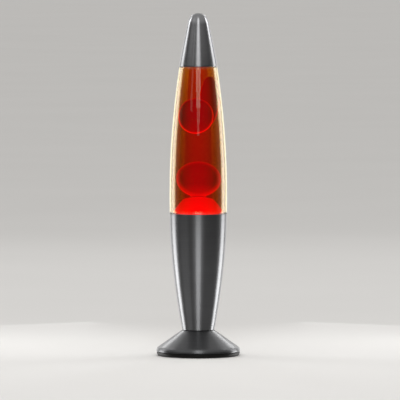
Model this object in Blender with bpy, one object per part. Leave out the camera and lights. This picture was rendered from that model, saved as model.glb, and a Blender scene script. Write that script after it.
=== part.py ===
"""A lava lamp: metal base with its lampholder and reflector bulb, bottle of wax and liquid, metal cap.

Metres, +Z up. The origin is the middle of the underside. The front faces -Y and the cable leaves at +Y.
Heights below are measured from the surface the lamp stands on, unless a name says otherwise.
"""

import math

import bmesh
import bpy
from mathutils import Matrix, Vector

MM = 0.001

# Driving sizes of the whole lamp
FOOT_RADIUS = 41.7 * MM
FOOT_HEIGHT = 25.2 * MM
NECK_RADIUS = 16.0 * MM  # where the base cone stands on the foot
BODY_RADIUS = 28.75 * MM  # the bottle at its widest
GLASS_LENGTH = 145.7 * MM  # of the bottle that shows between base and cap
CAP_RADIUS = 19.07 * MM  # at the cap's rim
CAP_LENGTH = 52.5 * MM

# Walls and clearances
SHELL = 0.8 * MM  # spun aluminium of base, foot and cap
GLASS_WALL = 4.0 * MM
GLASS_FLOOR = 3.0 * MM
TOUCH = 0.3 * MM  # between two pieces that touch
LOOSE = 0.4 * MM  # around a part that drops into a hole
FLUSH_STEP = 0.15 * MM  # how far the glass stands out past the metal rims

# Foot
RING_HEIGHT = 4.0 * MM
RING_LEDGE = 1.5 * MM  # under the bottom plate
RING_WALL = 2.5 * MM
RING_UPSTAND = 2.5 * MM  # of the ring inside the foot shell
FOOT_EDGE_HEIGHT = 5.5 * MM  # where the foot is widest
FOOT_SHOULDER = Vector((2.2 * MM, 4.1 * MM))  # inward and upward from there to the slope
PLATE_THICKNESS = 1.2 * MM
LEDGE_WIDTH = 2.0 * MM
VENT_COUNT = 8
VENT_RADIUS = 2.2 * MM
VENT_CIRCLE = 22.0 * MM
PLATE_SCREW_ANGLES = (30, 150, 270)
PLATE_SCREW_CIRCLE = 29.5 * MM
BOSS_RADIUS = 3.0 * MM
BOSS_TOP = 9.5 * MM
WEB_WIDTH = 2.4 * MM
SCREW_RADIUS = 1.1 * MM
SCREW_HEAD = Vector((2.5 * MM, 1.0 * MM))  # radius and height

# Cable outlet
CABLE_RADIUS = 3.1 * MM
BUSH_WALL = 1.2 * MM
BUSH_FLANGE = Vector((0.7 * MM, 1.5 * MM))  # past the bush, and its thickness
BUSH_LENGTH = 6.0 * MM
BUSH_SKIN = 0.4 * MM  # of the ring left under the bush

# Clamping tube, nut and washers
NIPPLE_RADIUS = 4.9 * MM
NIPPLE_BORE = 3.6 * MM
NIPPLE_BELOW = 9.7 * MM  # reach under the foot's top
NIPPLE_ABOVE = 4.6 * MM  # reach over the cone's floor
NUT_ACROSS = 14.0 * MM
NUT_HEIGHT = 4.0 * MM
WASHER_RADIUS = 9.5 * MM
WASHER_HEIGHT = 1.0 * MM

# Lampholder for the small screw cap
HOLDER_RADIUS = 13.5 * MM
HOLDER_WALL = 1.3 * MM
HOLDER_FLOOR = 1.6 * MM
DOME_HEIGHT = 9.1 * MM
INSERT_HEIGHT = 5.5 * MM
INSERT_RISE = 7.6 * MM  # its underside over the holder's
TERMINAL_SPREAD = 7.5 * MM
SKIRT_HEIGHT = 22.7 * MM
SLEEVE_LENGTH = 16.7 * MM
SLEEVE_WALL = 0.9 * MM
CONTACT_HEIGHT = 1.7 * MM

# Screw thread of the bulb
THREAD_PITCH = 2.822 * MM
THREAD_MEAN = 6.6 * MM
THREAD_DEPTH = 0.345 * MM  # either side of the mean
THREAD_CLEARANCE = 0.42 * MM
THREAD_ENGAGED = 11.3 * MM

# Reflector bulb
BULB_LENGTH = 66.0 * MM
BULB_RADIUS = 19.5 * MM
BULB_NECK = 5.3 * MM
BULB_WALL = 0.7 * MM
CAP_BORE = 5.7 * MM
BULB_AIR = 13.2 * MM  # from the bulb's top to the bottle, enough to unscrew it
LEAD_WIRE = 0.35 * MM

# Bottle
SEAT_DEPTH = 19.0 * MM  # of the bottle inside the base
WIDEST_RISE = 23.2 * MM  # of the widest point above the base's rim
FINISH_RADIUS = 13.3 * MM  # crown finish
FINISH_BORE = 8.0 * MM
FINISH_HEIGHT = 13.8 * MM  # over the cap's rim
CROWN_SHEET = 0.35 * MM
CROWN_FLUTES = 21
CROWN_FLUTE_DEPTH = 0.3 * MM
CROWN_SKIRT = 5.6 * MM
LINER_HEIGHT = 0.9 * MM
LIQUID_RISE = 2.8 * MM  # of the liquid's surface over the cap's rim

# Wax, as shares of the bore at its height and of the glass's length
MOUND_RISE = 0.113
MOUND_NECK = 0.415
LOWER_BLOB = dict(height=0.2335, width=0.683, length=0.1194)
FRONT_BLOB = dict(height=0.661, width=0.69, depth=0.426, length=0.1208, x=-0.104, y=-0.175)
BACK_BLOB = dict(height=0.7585, width=0.305, depth=0.244, length=0.1665, x=0.336, y=0.529)
WAX_CLEARANCE = 0.3 * MM
SLOT_WIDTH = 1.2 * MM
COIL_INSET = 5.0 * MM  # from the bottle's wall to the middle of the wire
COIL_RADIUS = 1.8 * MM

# Terminal block
BLOCK_SIZE = Vector((20.0, 12.0, 9.0)) * MM
BLOCK_BACK = 17.0 * MM  # its middle, behind the axis
POLE_SPREAD = 6.0 * MM
WELL_RADIUS = 1.9 * MM
WELL_SPREAD = 2.8 * MM
WIRE_HOLE = 1.35 * MM
LEAD_RADIUS = 1.0 * MM

SEGMENTS = 20  # sides of large round parts
FINE = 16  # sides of small round parts
SMALL = 10

# Heights worked out from the sizes above
neck_z = FOOT_HEIGHT + TOUCH
holder_z = neck_z + SHELL + WASHER_HEIGHT + 2 * TOUCH
insert_z = holder_z + INSERT_RISE
insert_top = insert_z + INSERT_HEIGHT
bulb_z = insert_top + CONTACT_HEIGHT + 2 * TOUCH
bulb_top = bulb_z + BULB_LENGTH
bottle_z = bulb_top + BULB_AIR
rim_z = bottle_z + SEAT_DEPTH
widest_z = rim_z + WIDEST_RISE
shoulder_z = rim_z + GLASS_LENGTH
top_z = shoulder_z + TOUCH + CAP_LENGTH
thread_z = bulb_z + 3.7 * MM
rim_radius = BODY_RADIUS - FLUSH_STEP - 0.1 * MM
bush_start = FOOT_RADIUS - BUSH_LENGTH  # behind the axis, so that the bush ends flush
plate_radius = bush_start - LOOSE - TOUCH
bush_z = CABLE_RADIUS + BUSH_WALL + BUSH_FLANGE.x + LOOSE + BUSH_SKIN


def remove_everything():
    """An empty scene to build in."""
    for item in list(bpy.data.objects):
        bpy.data.objects.remove(item, do_unlink=True)


# Materials ---------------------------------------------------------------------------------------

MATERIALS = {
    "aluminium": dict(color=(0.36, 0.37, 0.38), roughness=0.34, metallic=1.0),
    "steel": dict(color=(0.55, 0.55, 0.56), roughness=0.35, metallic=1.0),
    "brass": dict(color=(0.72, 0.53, 0.22), roughness=0.3, metallic=1.0),
    "black_plastic": dict(color=(0.02, 0.02, 0.022), roughness=0.5, metallic=0.0),
    "porcelain": dict(color=(0.86, 0.84, 0.78), roughness=0.25, metallic=0.0),
    "glass": dict(color=(0.95, 0.95, 0.93), roughness=0.03, metallic=0.0),
    "liquid": dict(color=(0.55, 0.22, 0.03), roughness=0.05, metallic=0.0),
    "wax": dict(color=(0.7, 0.01, 0.02), roughness=0.3, metallic=0.0),
    "crown_steel": dict(color=(0.7, 0.68, 0.62), roughness=0.35, metallic=1.0),
    "polymer": dict(color=(0.8, 0.8, 0.78), roughness=0.5, metallic=0.0),
    "brown_wire": dict(color=(0.2, 0.07, 0.03), roughness=0.5, metallic=0.0),
    "blue_wire": dict(color=(0.03, 0.08, 0.35), roughness=0.5, metallic=0.0),
    "tungsten": dict(color=(0.3, 0.3, 0.32), roughness=0.4, metallic=1.0),
}


def own_material(node, kind):
    """A Principled material for one node."""
    look = MATERIALS[kind]
    material = bpy.data.materials.new(node)
    material.use_nodes = True
    shader = material.node_tree.nodes["Principled BSDF"]
    shader.inputs["Base Color"].default_value = (*look["color"], 1.0)
    shader.inputs["Roughness"].default_value = look["roughness"]
    shader.inputs["Metallic"].default_value = look["metallic"]
    return material


# Building solids ---------------------------------------------------------------------------------


def finished(name, bm, kind, smooth=True):
    """An object from a bmesh, its faces turned outward."""
    bmesh.ops.recalc_face_normals(bm, faces=bm.faces)
    mesh = bpy.data.meshes.new(name)
    bm.to_mesh(mesh)
    bm.free()
    if smooth:
        mesh.shade_smooth()
        mesh.set_sharp_from_angle(angle=math.radians(35))
    item = bpy.data.objects.new(name, mesh)
    bpy.context.scene.collection.objects.link(item)
    if kind:
        mesh.materials.append(own_material(name, kind))
    return item


def turned(name, loop, kind, segments=SEGMENTS, ripple=None):
    """A solid turned about Z from a closed loop of (radius, height). Radius 0 is a pole.

    ripple(angle, radius, height) gives what is added to the radius there.
    """
    bm = bmesh.new()
    rings = []
    for radius, height in loop:
        if radius == 0:
            rings.append([bm.verts.new((0, 0, height))])
            continue
        ring = []
        for step in range(segments):
            angle = 2 * math.pi * step / segments
            reach = radius + (ripple(angle, radius, height) if ripple else 0)
            ring.append(bm.verts.new((reach * math.cos(angle), reach * math.sin(angle), height)))
        rings.append(ring)
    for here, there in zip(rings, rings[1:] + rings[:1]):
        if len(here) == len(there) == 1:
            continue
        for step in range(segments):
            after = (step + 1) % segments
            corners = [here[step % len(here)], here[after % len(here)]]
            corners += [there[after % len(there)], there[step % len(there)]]
            bm.faces.new(list(dict.fromkeys(corners)))
    return finished(name, bm, kind)


def thickened(path, wall):
    """A closed loop: an outer path of (radius, height), then its copy, a wall's thickness to its left."""
    inner = []
    for i, (radius, height) in enumerate(path):
        before = Vector(path[max(i - 1, 0)])
        after = Vector(path[min(i + 1, len(path) - 1)])
        here = Vector((radius, height))
        sides = [(here - before), (after - here)]
        normals = [Vector((-s.y, s.x)).normalized() for s in sides if s.length > 0]
        across = sum(normals, Vector((0, 0)))
        across.normalize()
        reach = wall / max(across.dot(normals[0]), 0.5)
        if radius == 0:
            across = Vector((0, -1 if across.y < 0 else 1))
            reach = wall
        point = here + across * reach
        inner.append((max(point.x, 0.0) if radius else 0.0, point.y))
    return list(path) + inner[::-1]


def prism(name, outline, low, high, kind):
    """An upright prism on an outline of (x, y)."""
    bm = bmesh.new()
    bottom = [bm.verts.new((x, y, low)) for x, y in outline]
    face = bm.faces.new(bottom)
    pushed = bmesh.ops.extrude_face_region(bm, geom=[face])
    lifted = [v for v in pushed["geom"] if isinstance(v, bmesh.types.BMVert)]
    bmesh.ops.translate(bm, verts=lifted, vec=(0, 0, high - low))
    return finished(name, bm, kind, smooth=False)


def ring_outline(radius, count, start=0.0):
    """Points evenly round a circle."""
    angles = [start + 2 * math.pi * step / count for step in range(count)]
    return [(radius * math.cos(angle), radius * math.sin(angle)) for angle in angles]


def disc(name, radius, low, high, kind, segments=FINE, bore=0.0):
    """A round bar or, with a bore, a ring."""
    loop = [(bore, low), (radius, low), (radius, high), (bore, high)]
    return turned(name, loop, kind, segments)


def shape(item, matrix):
    """Move an object's mesh itself, so that the object stays at the origin."""
    item.data.transform(matrix)
    return item


def boolean(item, cutter, operation):
    """Cut with a hidden object, or join it."""
    cutter.hide_render = True
    cutter.display_type = "WIRE"
    modifier = item.modifiers.new(cutter.name, "BOOLEAN")
    modifier.operation = operation
    modifier.solver = "EXACT"
    modifier.object = cutter
    return item


def tube(name, points, radius, kind, sides=2, steps=3):
    """A round wire along a smooth curve through the points, with flat ends."""
    corners = [Vector(point) for point in points]
    path = []
    for i in range(len(corners) - 1):
        a = corners[max(i - 1, 0)]
        b, c = corners[i], corners[i + 1]
        d = corners[min(i + 2, len(corners) - 1)]
        for step in range(steps):
            t = step / steps
            bend = (2 * a - 5 * b + 4 * c - d) * t * t + (3 * b - 3 * c + d - a) * t**3
            path.append(b + 0.5 * ((c - a) * t + bend))
    path.append(corners[-1])
    curve = bpy.data.curves.new(name, "CURVE")
    curve.dimensions = "3D"
    curve.bevel_depth = radius
    curve.bevel_resolution = sides
    curve.use_fill_caps = True
    spline = curve.splines.new("POLY")
    spline.points.add(len(path) - 1)
    for point, place in zip(spline.points, path):
        point.co = (*place, 1.0)
    item = bpy.data.objects.new(name, curve)
    bpy.context.scene.collection.objects.link(item)
    curve.materials.append(own_material(name, kind))
    return item


def curved(start, bend_a, bend_b, end, steps):
    """Points of a cubic curve in (radius, height), its ends included."""
    a, b, c, d = Vector(start), Vector(bend_a), Vector(bend_b), Vector(end)
    points = []
    for step in range(steps + 1):
        t = step / steps
        point = a * (1 - t) ** 3 + b * 3 * t * (1 - t) ** 2 + c * 3 * t * t * (1 - t) + d * t**3
        points.append((point.x, point.y))
    return points


# Outer shapes as functions of height -------------------------------------------------------------


def glass_radius(height):
    """The bottle's outside between the base's rim and the cap's."""
    rise = max(height - widest_z, 0) / (shoulder_z - widest_z)
    return BODY_RADIUS - (BODY_RADIUS - CAP_RADIUS) * rise**1.9


def bore_radius(height):
    """The bottle's inside at the same heights."""
    return glass_radius(height) - GLASS_WALL


def cone_radius(height):
    """The base cone's outside."""
    drop = (rim_z - height) / (rim_z - neck_z)
    return rim_radius - (rim_radius - NECK_RADIUS) * drop**1.75


def seat_radius():
    """The bottle's straight lower end, which clears the cone down to the bottle's floor."""
    return cone_radius(bottle_z) - SHELL - LOOSE


def cap_radius(height):
    """The cap's side below its rounded tip."""
    rise = (height - shoulder_z - TOUCH) / (0.78 * CAP_LENGTH)
    return CAP_RADIUS - 0.428 * CAP_RADIUS * rise**1.08


def spread(low, high, count):
    """Evenly spaced values from low to high, both included."""
    return [low + (high - low) * step / (count - 1) for step in range(count)]


# Foot --------------------------------------------------------------------------------------------


def bush_loop(grow):
    """The bush's outline about its own axis, from its inner end outward, grown by a clearance."""
    outer = CABLE_RADIUS + BUSH_WALL + grow
    flange = outer + BUSH_FLANGE.x
    return [(flange, -grow), (flange, BUSH_FLANGE.y + grow), (outer, BUSH_FLANGE.y + grow)]


def facing_back(start):
    """Lays a shape turned about Z along +Y, at the cable's height, from a given distance."""
    return Matrix.Translation((0, start, bush_z)) @ Matrix.Rotation(-math.pi / 2, 4, "X")


def bush_hole(name):
    """The hole that the bush sits in, as a cutter."""
    loop = [(0, -LOOSE), *bush_loop(LOOSE)]
    past = BUSH_LENGTH + 4 * MM
    loop += [(loop[-1][0], past), (0, past)]
    return shape(turned(name, loop, None, FINE), facing_back(bush_start))


def foot_path():
    """The foot shell's outside from the hole at its top down to its lower edge."""
    slope_end = (FOOT_RADIUS - FOOT_SHOULDER.x, FOOT_EDGE_HEIGHT + FOOT_SHOULDER.y)
    widest = (FOOT_RADIUS, FOOT_EDGE_HEIGHT)
    bend_a = (FOOT_RADIUS - 0.9 * MM, slope_end[1] - 0.9 * MM)
    bend_b = (FOOT_RADIUS, FOOT_EDGE_HEIGHT + 1.6 * MM)
    return [
        (NIPPLE_RADIUS + LOOSE, FOOT_HEIGHT),
        (NECK_RADIUS + TOUCH, FOOT_HEIGHT),
        *curved(slope_end, bend_a, bend_b, widest, 4),
        (FOOT_RADIUS - 0.2 * MM, RING_HEIGHT + TOUCH),
    ]


def make_foot_shell():
    """The spun foot, with a notch in its back edge for the cable bush."""
    path = foot_path()
    item = turned("foot_shell", thickened(path[::-1], SHELL), "aluminium")
    boolean(item, bush_hole("foot_shell_notch"), "DIFFERENCE")


def screw_places():
    """Where the bottom plate's screws go."""
    for angle in PLATE_SCREW_ANGLES:
        turn = math.radians(angle)
        yield turn, PLATE_SCREW_CIRCLE * math.cos(turn), PLATE_SCREW_CIRCLE * math.sin(turn)


def make_foot_ring():
    """The moulded ring that the lamp stands on, with three screw bosses inside."""
    outer = FOOT_RADIUS - 0.5 * MM
    inner = plate_radius + LOOSE
    inside = FOOT_RADIUS - SHELL - 1.2 * MM
    loop = [
        (plate_radius - LEDGE_WIDTH, 0),
        (outer - 3.0 * MM, 0),
        (outer - 0.8 * MM, 0.9 * MM),
        (outer, 2.6 * MM),
        (outer, RING_HEIGHT),
        (inside, RING_HEIGHT),
        (inside, RING_HEIGHT + RING_UPSTAND),
        (inside - RING_WALL, RING_HEIGHT + RING_UPSTAND),
        (inner, RING_HEIGHT),
        (inner, RING_LEDGE),
        (plate_radius - LEDGE_WIDTH, RING_LEDGE),
    ]
    item = turned("foot_ring", loop, "black_plastic")
    low = RING_LEDGE + PLATE_THICKNESS + 2 * TOUCH
    for number, (turn, x, y) in enumerate(screw_places(), 1):
        bore = SCREW_RADIUS + TOUCH
        boss = disc(f"boss_{number}", BOSS_RADIUS, low, BOSS_TOP, None, SMALL, bore)
        shape(boss, Matrix.Translation((x, y, 0)))
        half = WEB_WIDTH / 2
        start = PLATE_SCREW_CIRCLE + SCREW_RADIUS + 0.8 * MM
        reach = [(start, -half), (inside - 1.0 * MM, -half), (inside - 1.0 * MM, half), (start, half)]
        web = prism(f"web_{number}", reach, low + TOUCH, RING_HEIGHT + RING_UPSTAND - 0.6 * MM, None)
        shape(web, Matrix.Rotation(turn, 4, "Z"))
        boolean(item, boss, "UNION")
        boolean(item, web, "UNION")
    boolean(item, bush_hole("ring_notch"), "DIFFERENCE")


def make_bottom_plate():
    """A steel disc with vents, and its three screws."""
    low = RING_LEDGE + TOUCH
    high = low + PLATE_THICKNESS
    item = disc("bottom_plate", plate_radius, low, high, "steel", SEGMENTS, bore=0)
    places = [(x, y, SCREW_RADIUS + TOUCH) for _, x, y in screw_places()]
    places += [(x, y, VENT_RADIUS) for x, y in ring_outline(VENT_CIRCLE, VENT_COUNT, math.pi / VENT_COUNT)]
    places.append((0, BLOCK_BACK, SCREW_RADIUS + TOUCH))
    for number, (x, y, radius) in enumerate(places, 1):
        hole = disc(f"plate_hole_{number}", radius, 0, high + MM, None, SMALL)
        boolean(item, shape(hole, Matrix.Translation((x, y, 0))), "DIFFERENCE")
    for number, (_, x, y) in enumerate(screw_places(), 1):
        screw = make_screw(f"plate_screw_{number}", low - TOUCH, BOSS_TOP - MM, "steel")
        shape(screw, Matrix.Translation((x, y, 0)))


def make_screw(name, shoulder, tip, kind, radius=SCREW_RADIUS, head=SCREW_HEAD, slot=0.35 * MM):
    """A slotted screw along Z, its head on the far side of the shoulder from its tip."""
    way = 1 if tip > shoulder else -1
    loop = [
        (0, shoulder - way * head.y),
        (head.x * 0.8, shoulder - way * head.y),
        (head.x, shoulder - way * head.y * 0.6),
        (head.x, shoulder),
        (radius, shoulder),
        (radius, tip - way * radius),
        (radius * 0.3, tip),
        (0, tip),
    ]
    item = turned(name, loop, kind, SMALL)
    across = head.x * 1.3
    outline = [(-across, -slot), (across, -slot), (across, slot), (-across, slot)]
    face = shoulder - way * head.y
    depth = face + way * head.y * 0.45
    ends = sorted((face - way * MM, depth))
    groove = prism(f"{name}_slot", outline, *ends, None)
    groove.parent = item
    return boolean(item, groove, "DIFFERENCE")


def make_cable_bush():
    """The moulded bush that the cable leaves through."""
    outline = bush_loop(0)
    outer = outline[-1][0]
    loop = [(CABLE_RADIUS, 0), *outline, (outer, BUSH_LENGTH), (CABLE_RADIUS, BUSH_LENGTH)]
    shape(turned("cable_bush", loop, "black_plastic", FINE), facing_back(bush_start))


# Base cone and clamping tube ---------------------------------------------------------------------


def make_base_cone():
    """The spun cone that holds the bottle, its floor flange on the foot."""
    side = [(cone_radius(z), z) for z in spread(rim_z, neck_z + 1.2 * MM, 8)]
    path = [*side, (NECK_RADIUS - 0.5 * MM, neck_z), (NIPPLE_RADIUS + LOOSE, neck_z)]
    turned("base_cone", thickened(path, -SHELL), "aluminium")


def make_clamp():
    """The threaded tube that holds foot, cone and lampholder together."""
    low = FOOT_HEIGHT - NIPPLE_BELOW
    high = neck_z + SHELL + NIPPLE_ABOVE
    disc("nipple", NIPPLE_RADIUS, low, high, "brass", FINE, bore=NIPPLE_BORE)
    under = FOOT_HEIGHT - SHELL - TOUCH
    bore = NIPPLE_RADIUS + TOUCH
    disc("nipple_washer_lower", WASHER_RADIUS, under - WASHER_HEIGHT, under, "steel", FINE, bore)
    nut_top = under - WASHER_HEIGHT - TOUCH
    outline = ring_outline(NUT_ACROSS / math.sqrt(3), 6)
    nut = prism("nipple_nut", outline, nut_top - NUT_HEIGHT, nut_top, "steel")
    hole = disc("nut_hole", bore, nut_top - NUT_HEIGHT - MM, nut_top + MM, None, FINE)
    boolean(nut, hole, "DIFFERENCE")
    over = neck_z + SHELL + TOUCH
    disc("nipple_washer_upper", WASHER_RADIUS, over, over + WASHER_HEIGHT, "steel", FINE, bore)


# Lampholder --------------------------------------------------------------------------------------


def make_holder():
    """A screw lampholder: dome, ceramic insert with its contacts, threaded sleeve and skirt."""
    inner = HOLDER_RADIUS - HOLDER_WALL
    bore = NIPPLE_RADIUS + TOUCH
    low, high = holder_z, holder_z + DOME_HEIGHT
    dome = [
        (bore, low),
        (HOLDER_RADIUS - 5.0 * MM, low),
        (HOLDER_RADIUS, low + 3.6 * MM),
        (HOLDER_RADIUS, high),
        (inner, high),
        (inner, low + 4.3 * MM),
        (HOLDER_RADIUS - 5.3 * MM, low + HOLDER_FLOOR),
        (bore, low + HOLDER_FLOOR),
    ]
    turned("holder_dome", dome, "black_plastic", FINE)

    insert = disc("holder_insert", inner - LOOSE, insert_z, insert_top, "porcelain", FINE)
    for side, name in ((-1, "live"), (1, "neutral")):
        place = Matrix.Translation((side * TERMINAL_SPREAD, 0, 0))
        hole_radius = SCREW_RADIUS + TOUCH
        hole = disc(f"{name}_hole", hole_radius, insert_z - MM, insert_top - 1.2 * MM, None, SMALL)
        boolean(insert, shape(hole, place), "DIFFERENCE")
        head = Vector((2.2 * MM, 1.6 * MM))
        screw = make_screw(f"holder_screw_{name}", insert_z - TOUCH, insert_top - 1.6 * MM, "brass", head=head)
        shape(screw, place)

    base = insert_top + TOUCH
    button = [
        (0, base),
        (4.0 * MM, base),
        (4.0 * MM, base + 0.5 * MM),
        (2.4 * MM, base + 0.8 * MM),
        (1.6 * MM, base + CONTACT_HEIGHT),
        (0, base + CONTACT_HEIGHT),
    ]
    turned("centre_contact", button, "brass", SMALL)

    mean = THREAD_MEAN + THREAD_CLEARANCE
    outer = mean + THREAD_DEPTH + SLEEVE_WALL
    top = base + SLEEVE_LENGTH
    start = thread_z - 1.2 * MM
    thread = [(mean, z) for z in spread(start, top, 25)]
    relief = outer - 0.5 * MM
    loop = [(relief, base), (outer, base), (outer, top), *thread[::-1], (relief, start - 0.6 * MM)]

    def ripple(angle, radius, height):
        return thread_ripple(angle, height) if radius == mean else 0.0

    turned("holder_sleeve", loop, "brass", FINE, ripple)

    skirt_z = high + TOUCH
    skirt_top = holder_z + DOME_HEIGHT + SKIRT_HEIGHT
    hole = outer + TOUCH
    skirt = [
        (inner, skirt_z),
        (HOLDER_RADIUS, skirt_z),
        (HOLDER_RADIUS, skirt_top - 10.0 * MM),
        (HOLDER_RADIUS - 1.6 * MM, skirt_top),
        (hole, skirt_top),
        (hole, base),
        (inner, base),
    ]
    turned("holder_skirt", skirt, "black_plastic", FINE)


def thread_ripple(angle, height):
    """A right-hand screw thread's radius, more or less than its mean."""
    return THREAD_DEPTH * math.cos(2 * math.pi * height / THREAD_PITCH - angle)


# Bulb --------------------------------------------------------------------------------------------


def make_bulb():
    """A reflector bulb, with its screw cap, stem, wires and filament."""
    rise = bulb_z
    tip = [
        (0, rise),
        (1.8 * MM, rise),
        (2.3 * MM, rise + 0.4 * MM),
        (2.3 * MM, rise + 0.7 * MM),
        (0, rise + 0.7 * MM),
    ]
    turned("bulb_tip_contact", tip, "steel", SMALL)

    seat = rise + 0.7 * MM + TOUCH
    stopper = CAP_BORE - TOUCH
    cone = [(0, seat), (2.4 * MM, seat), (stopper, thread_z - TOUCH), (stopper, thread_z + MM), (0, thread_z + MM)]
    turned("bulb_insulator", cone, "black_plastic", FINE)

    top = thread_z + THREAD_ENGAGED + 0.9 * MM
    thread = [(THREAD_MEAN, z) for z in spread(thread_z, top, 24)]
    collar = THREAD_MEAN + THREAD_DEPTH + 0.3 * MM
    loop = [*thread, (collar, top + 0.6 * MM), (collar, top + 2.6 * MM), (CAP_BORE, top + 2.6 * MM)]
    loop.append((CAP_BORE, thread_z))

    def ripple(angle, radius, height):
        return thread_ripple(angle, height) if radius == THREAD_MEAN else 0.0

    turned("bulb_screw_cap", loop, "brass", FINE, ripple)

    collar_top = top + 2.6 * MM
    front = bulb_top
    belly = front - 14.0 * MM
    outside = [
        (BULB_NECK, collar_top - 4.0 * MM),
        (BULB_NECK, collar_top + TOUCH),
        (BULB_NECK + 2.6 * MM, collar_top + 1.8 * MM),
        *curved(
            (BULB_NECK + 3.4 * MM, collar_top + 5.5 * MM),
            (BULB_NECK + 5.5 * MM, collar_top + 14.0 * MM),
            (BULB_RADIUS, belly - 14.0 * MM),
            (BULB_RADIUS, belly),
            5,
        ),
        *curved(
            (BULB_RADIUS - 0.3 * MM, belly + 3.0 * MM),
            (BULB_RADIUS - 2.0 * MM, front - 5.0 * MM),
            (BULB_RADIUS * 0.6, front),
            (0, front),
            5,
        ),
    ]
    turned("bulb_envelope", thickened(outside, BULB_WALL), "glass", FINE)

    foot = thread_z + 3.0 * MM
    waist = foot + 4.0 * MM
    crown = belly - 13.0 * MM
    stem = [
        (0, foot),
        (BULB_NECK - BULB_WALL - LOOSE, foot),
        (BULB_NECK - BULB_WALL - LOOSE, foot + 0.8 * MM),
        (1.6 * MM, waist),
        (1.4 * MM, crown),
        (0, crown + 0.5 * MM),
    ]
    turned("bulb_stem", stem, "glass", SMALL)

    beside = 1.6 * MM + LEAD_WIRE + TOUCH
    focus = belly - 4.5 * MM
    for number, side in ((1, -1), (2, 1)):
        points = [
            (side * beside, 0, waist + MM),
            (side * beside, 0, crown - 4.0 * MM),
            (side * (beside + 0.8 * MM), 0, crown + MM),
            (side * 6.0 * MM, 0, focus),
        ]
        tube(f"bulb_lead_{number}", points, LEAD_WIRE, "steel", sides=1, steps=2)
    arc = [math.radians(angle) for angle in range(0, 181, 30)]
    lifted = focus + LEAD_WIRE + 0.4 * MM + TOUCH
    points = [(-6.0 * MM * math.cos(a), 5.0 * MM * math.sin(a), lifted) for a in arc]
    tube("bulb_filament", points, 0.4 * MM, "tungsten", sides=1, steps=2)


# Bottle ------------------------------------------------------------------------------------------


def make_bottle():
    """The glass bottle, its crown cap and liner."""
    ledge = rim_z + TOUCH
    neck_plug = CAP_RADIUS - SHELL - LOOSE
    top = shoulder_z + FINISH_HEIGHT
    throat = FINISH_RADIUS - 0.7 * MM
    outside = [
        (0, bottle_z),
        (seat_radius() - 4.0 * MM, bottle_z),
        (seat_radius() - 1.2 * MM, bottle_z + 1.2 * MM),
        (seat_radius(), bottle_z + 4.0 * MM),
        (seat_radius(), ledge),
        *[(glass_radius(z), z) for z in spread(ledge, shoulder_z, 9)],
        (neck_plug, shoulder_z),
        (neck_plug - 0.3 * MM, shoulder_z + 2.3 * MM),
        (neck_plug - 2.0 * MM, shoulder_z + 4.8 * MM),
        (throat, shoulder_z + 6.8 * MM),
        (throat, top - 4.8 * MM),
        (FINISH_RADIUS, top - 4.2 * MM),
        (FINISH_RADIUS, top - 0.8 * MM),
        (FINISH_RADIUS - 0.8 * MM, top),
    ]
    low = seat_radius() - GLASS_WALL
    inside = [
        (FINISH_BORE, top),
        (FINISH_BORE, shoulder_z + 6.4 * MM),
        (neck_plug - GLASS_WALL - 1.6 * MM, shoulder_z + 2.6 * MM),
        (neck_plug - GLASS_WALL - 0.3 * MM, shoulder_z),
        *[(bore_radius(z), z) for z in spread(shoulder_z - 4.0 * MM, ledge + 1.5 * MM, 8)],
        (low, ledge - 1.5 * MM),
        (low, bottle_z + GLASS_FLOOR + 2.0 * MM),
        (low - 2.0 * MM, bottle_z + GLASS_FLOOR),
        (0, bottle_z + GLASS_FLOOR),
    ]
    turned("globe_glass", outside + inside, "glass")

    liner_z = top + TOUCH
    disc("crown_liner", FINISH_RADIUS - 1.8 * MM, liner_z, liner_z + LINER_HEIGHT, "polymer", FINE)

    lid = liner_z + LINER_HEIGHT + TOUCH + CROWN_SHEET
    flare = FINISH_RADIUS + CROWN_SHEET + CROWN_FLUTE_DEPTH + TOUCH
    path = [
        (flare + 0.35 * MM, lid - CROWN_SKIRT),
        (flare, lid - CROWN_SKIRT + 2.0 * MM),
        (flare - 0.2 * MM, lid - 1.5 * MM),
        (FINISH_RADIUS - 0.6 * MM, lid - 0.15 * MM),
        (FINISH_RADIUS - 2.4 * MM, lid),
        (0, lid),
    ]
    shallow = lid - 1.8 * MM

    def flutes(angle, _, height):
        share = min(max((shallow - height) / (CROWN_SKIRT - 1.8 * MM), 0), 1)
        return CROWN_FLUTE_DEPTH * share * math.cos(CROWN_FLUTES * angle)

    turned("crown_cap", thickened(path, CROWN_SHEET), "crown_steel", 2 * CROWN_FLUTES, flutes)


# Wax and liquid ----------------------------------------------------------------------------------


def at_share(share):
    """A height given as a share of the glass's length."""
    return rim_z + share * GLASS_LENGTH


def mound_path(lift=0.0):
    """The pool's upper surface, from the bottle's wall to the top of its mound."""
    neck = MOUND_NECK * bore_radius(rim_z)
    crest = at_share(MOUND_RISE) - TOUCH
    wall = seat_radius() - GLASS_WALL - TOUCH
    start = (wall, rim_z - 1.5 * MM)
    bend_a = (0.8 * wall, rim_z + 0.16 * (crest - rim_z))
    bend_b = (neck + 2.8 * MM, rim_z + 0.62 * (crest - rim_z))
    slope = curved(start, bend_a, bend_b, (neck, crest - 0.6 * MM), 6)
    path = [*slope, (neck - 0.6 * MM, crest)]
    return [(radius, height + lift) for radius, height in path]


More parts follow.
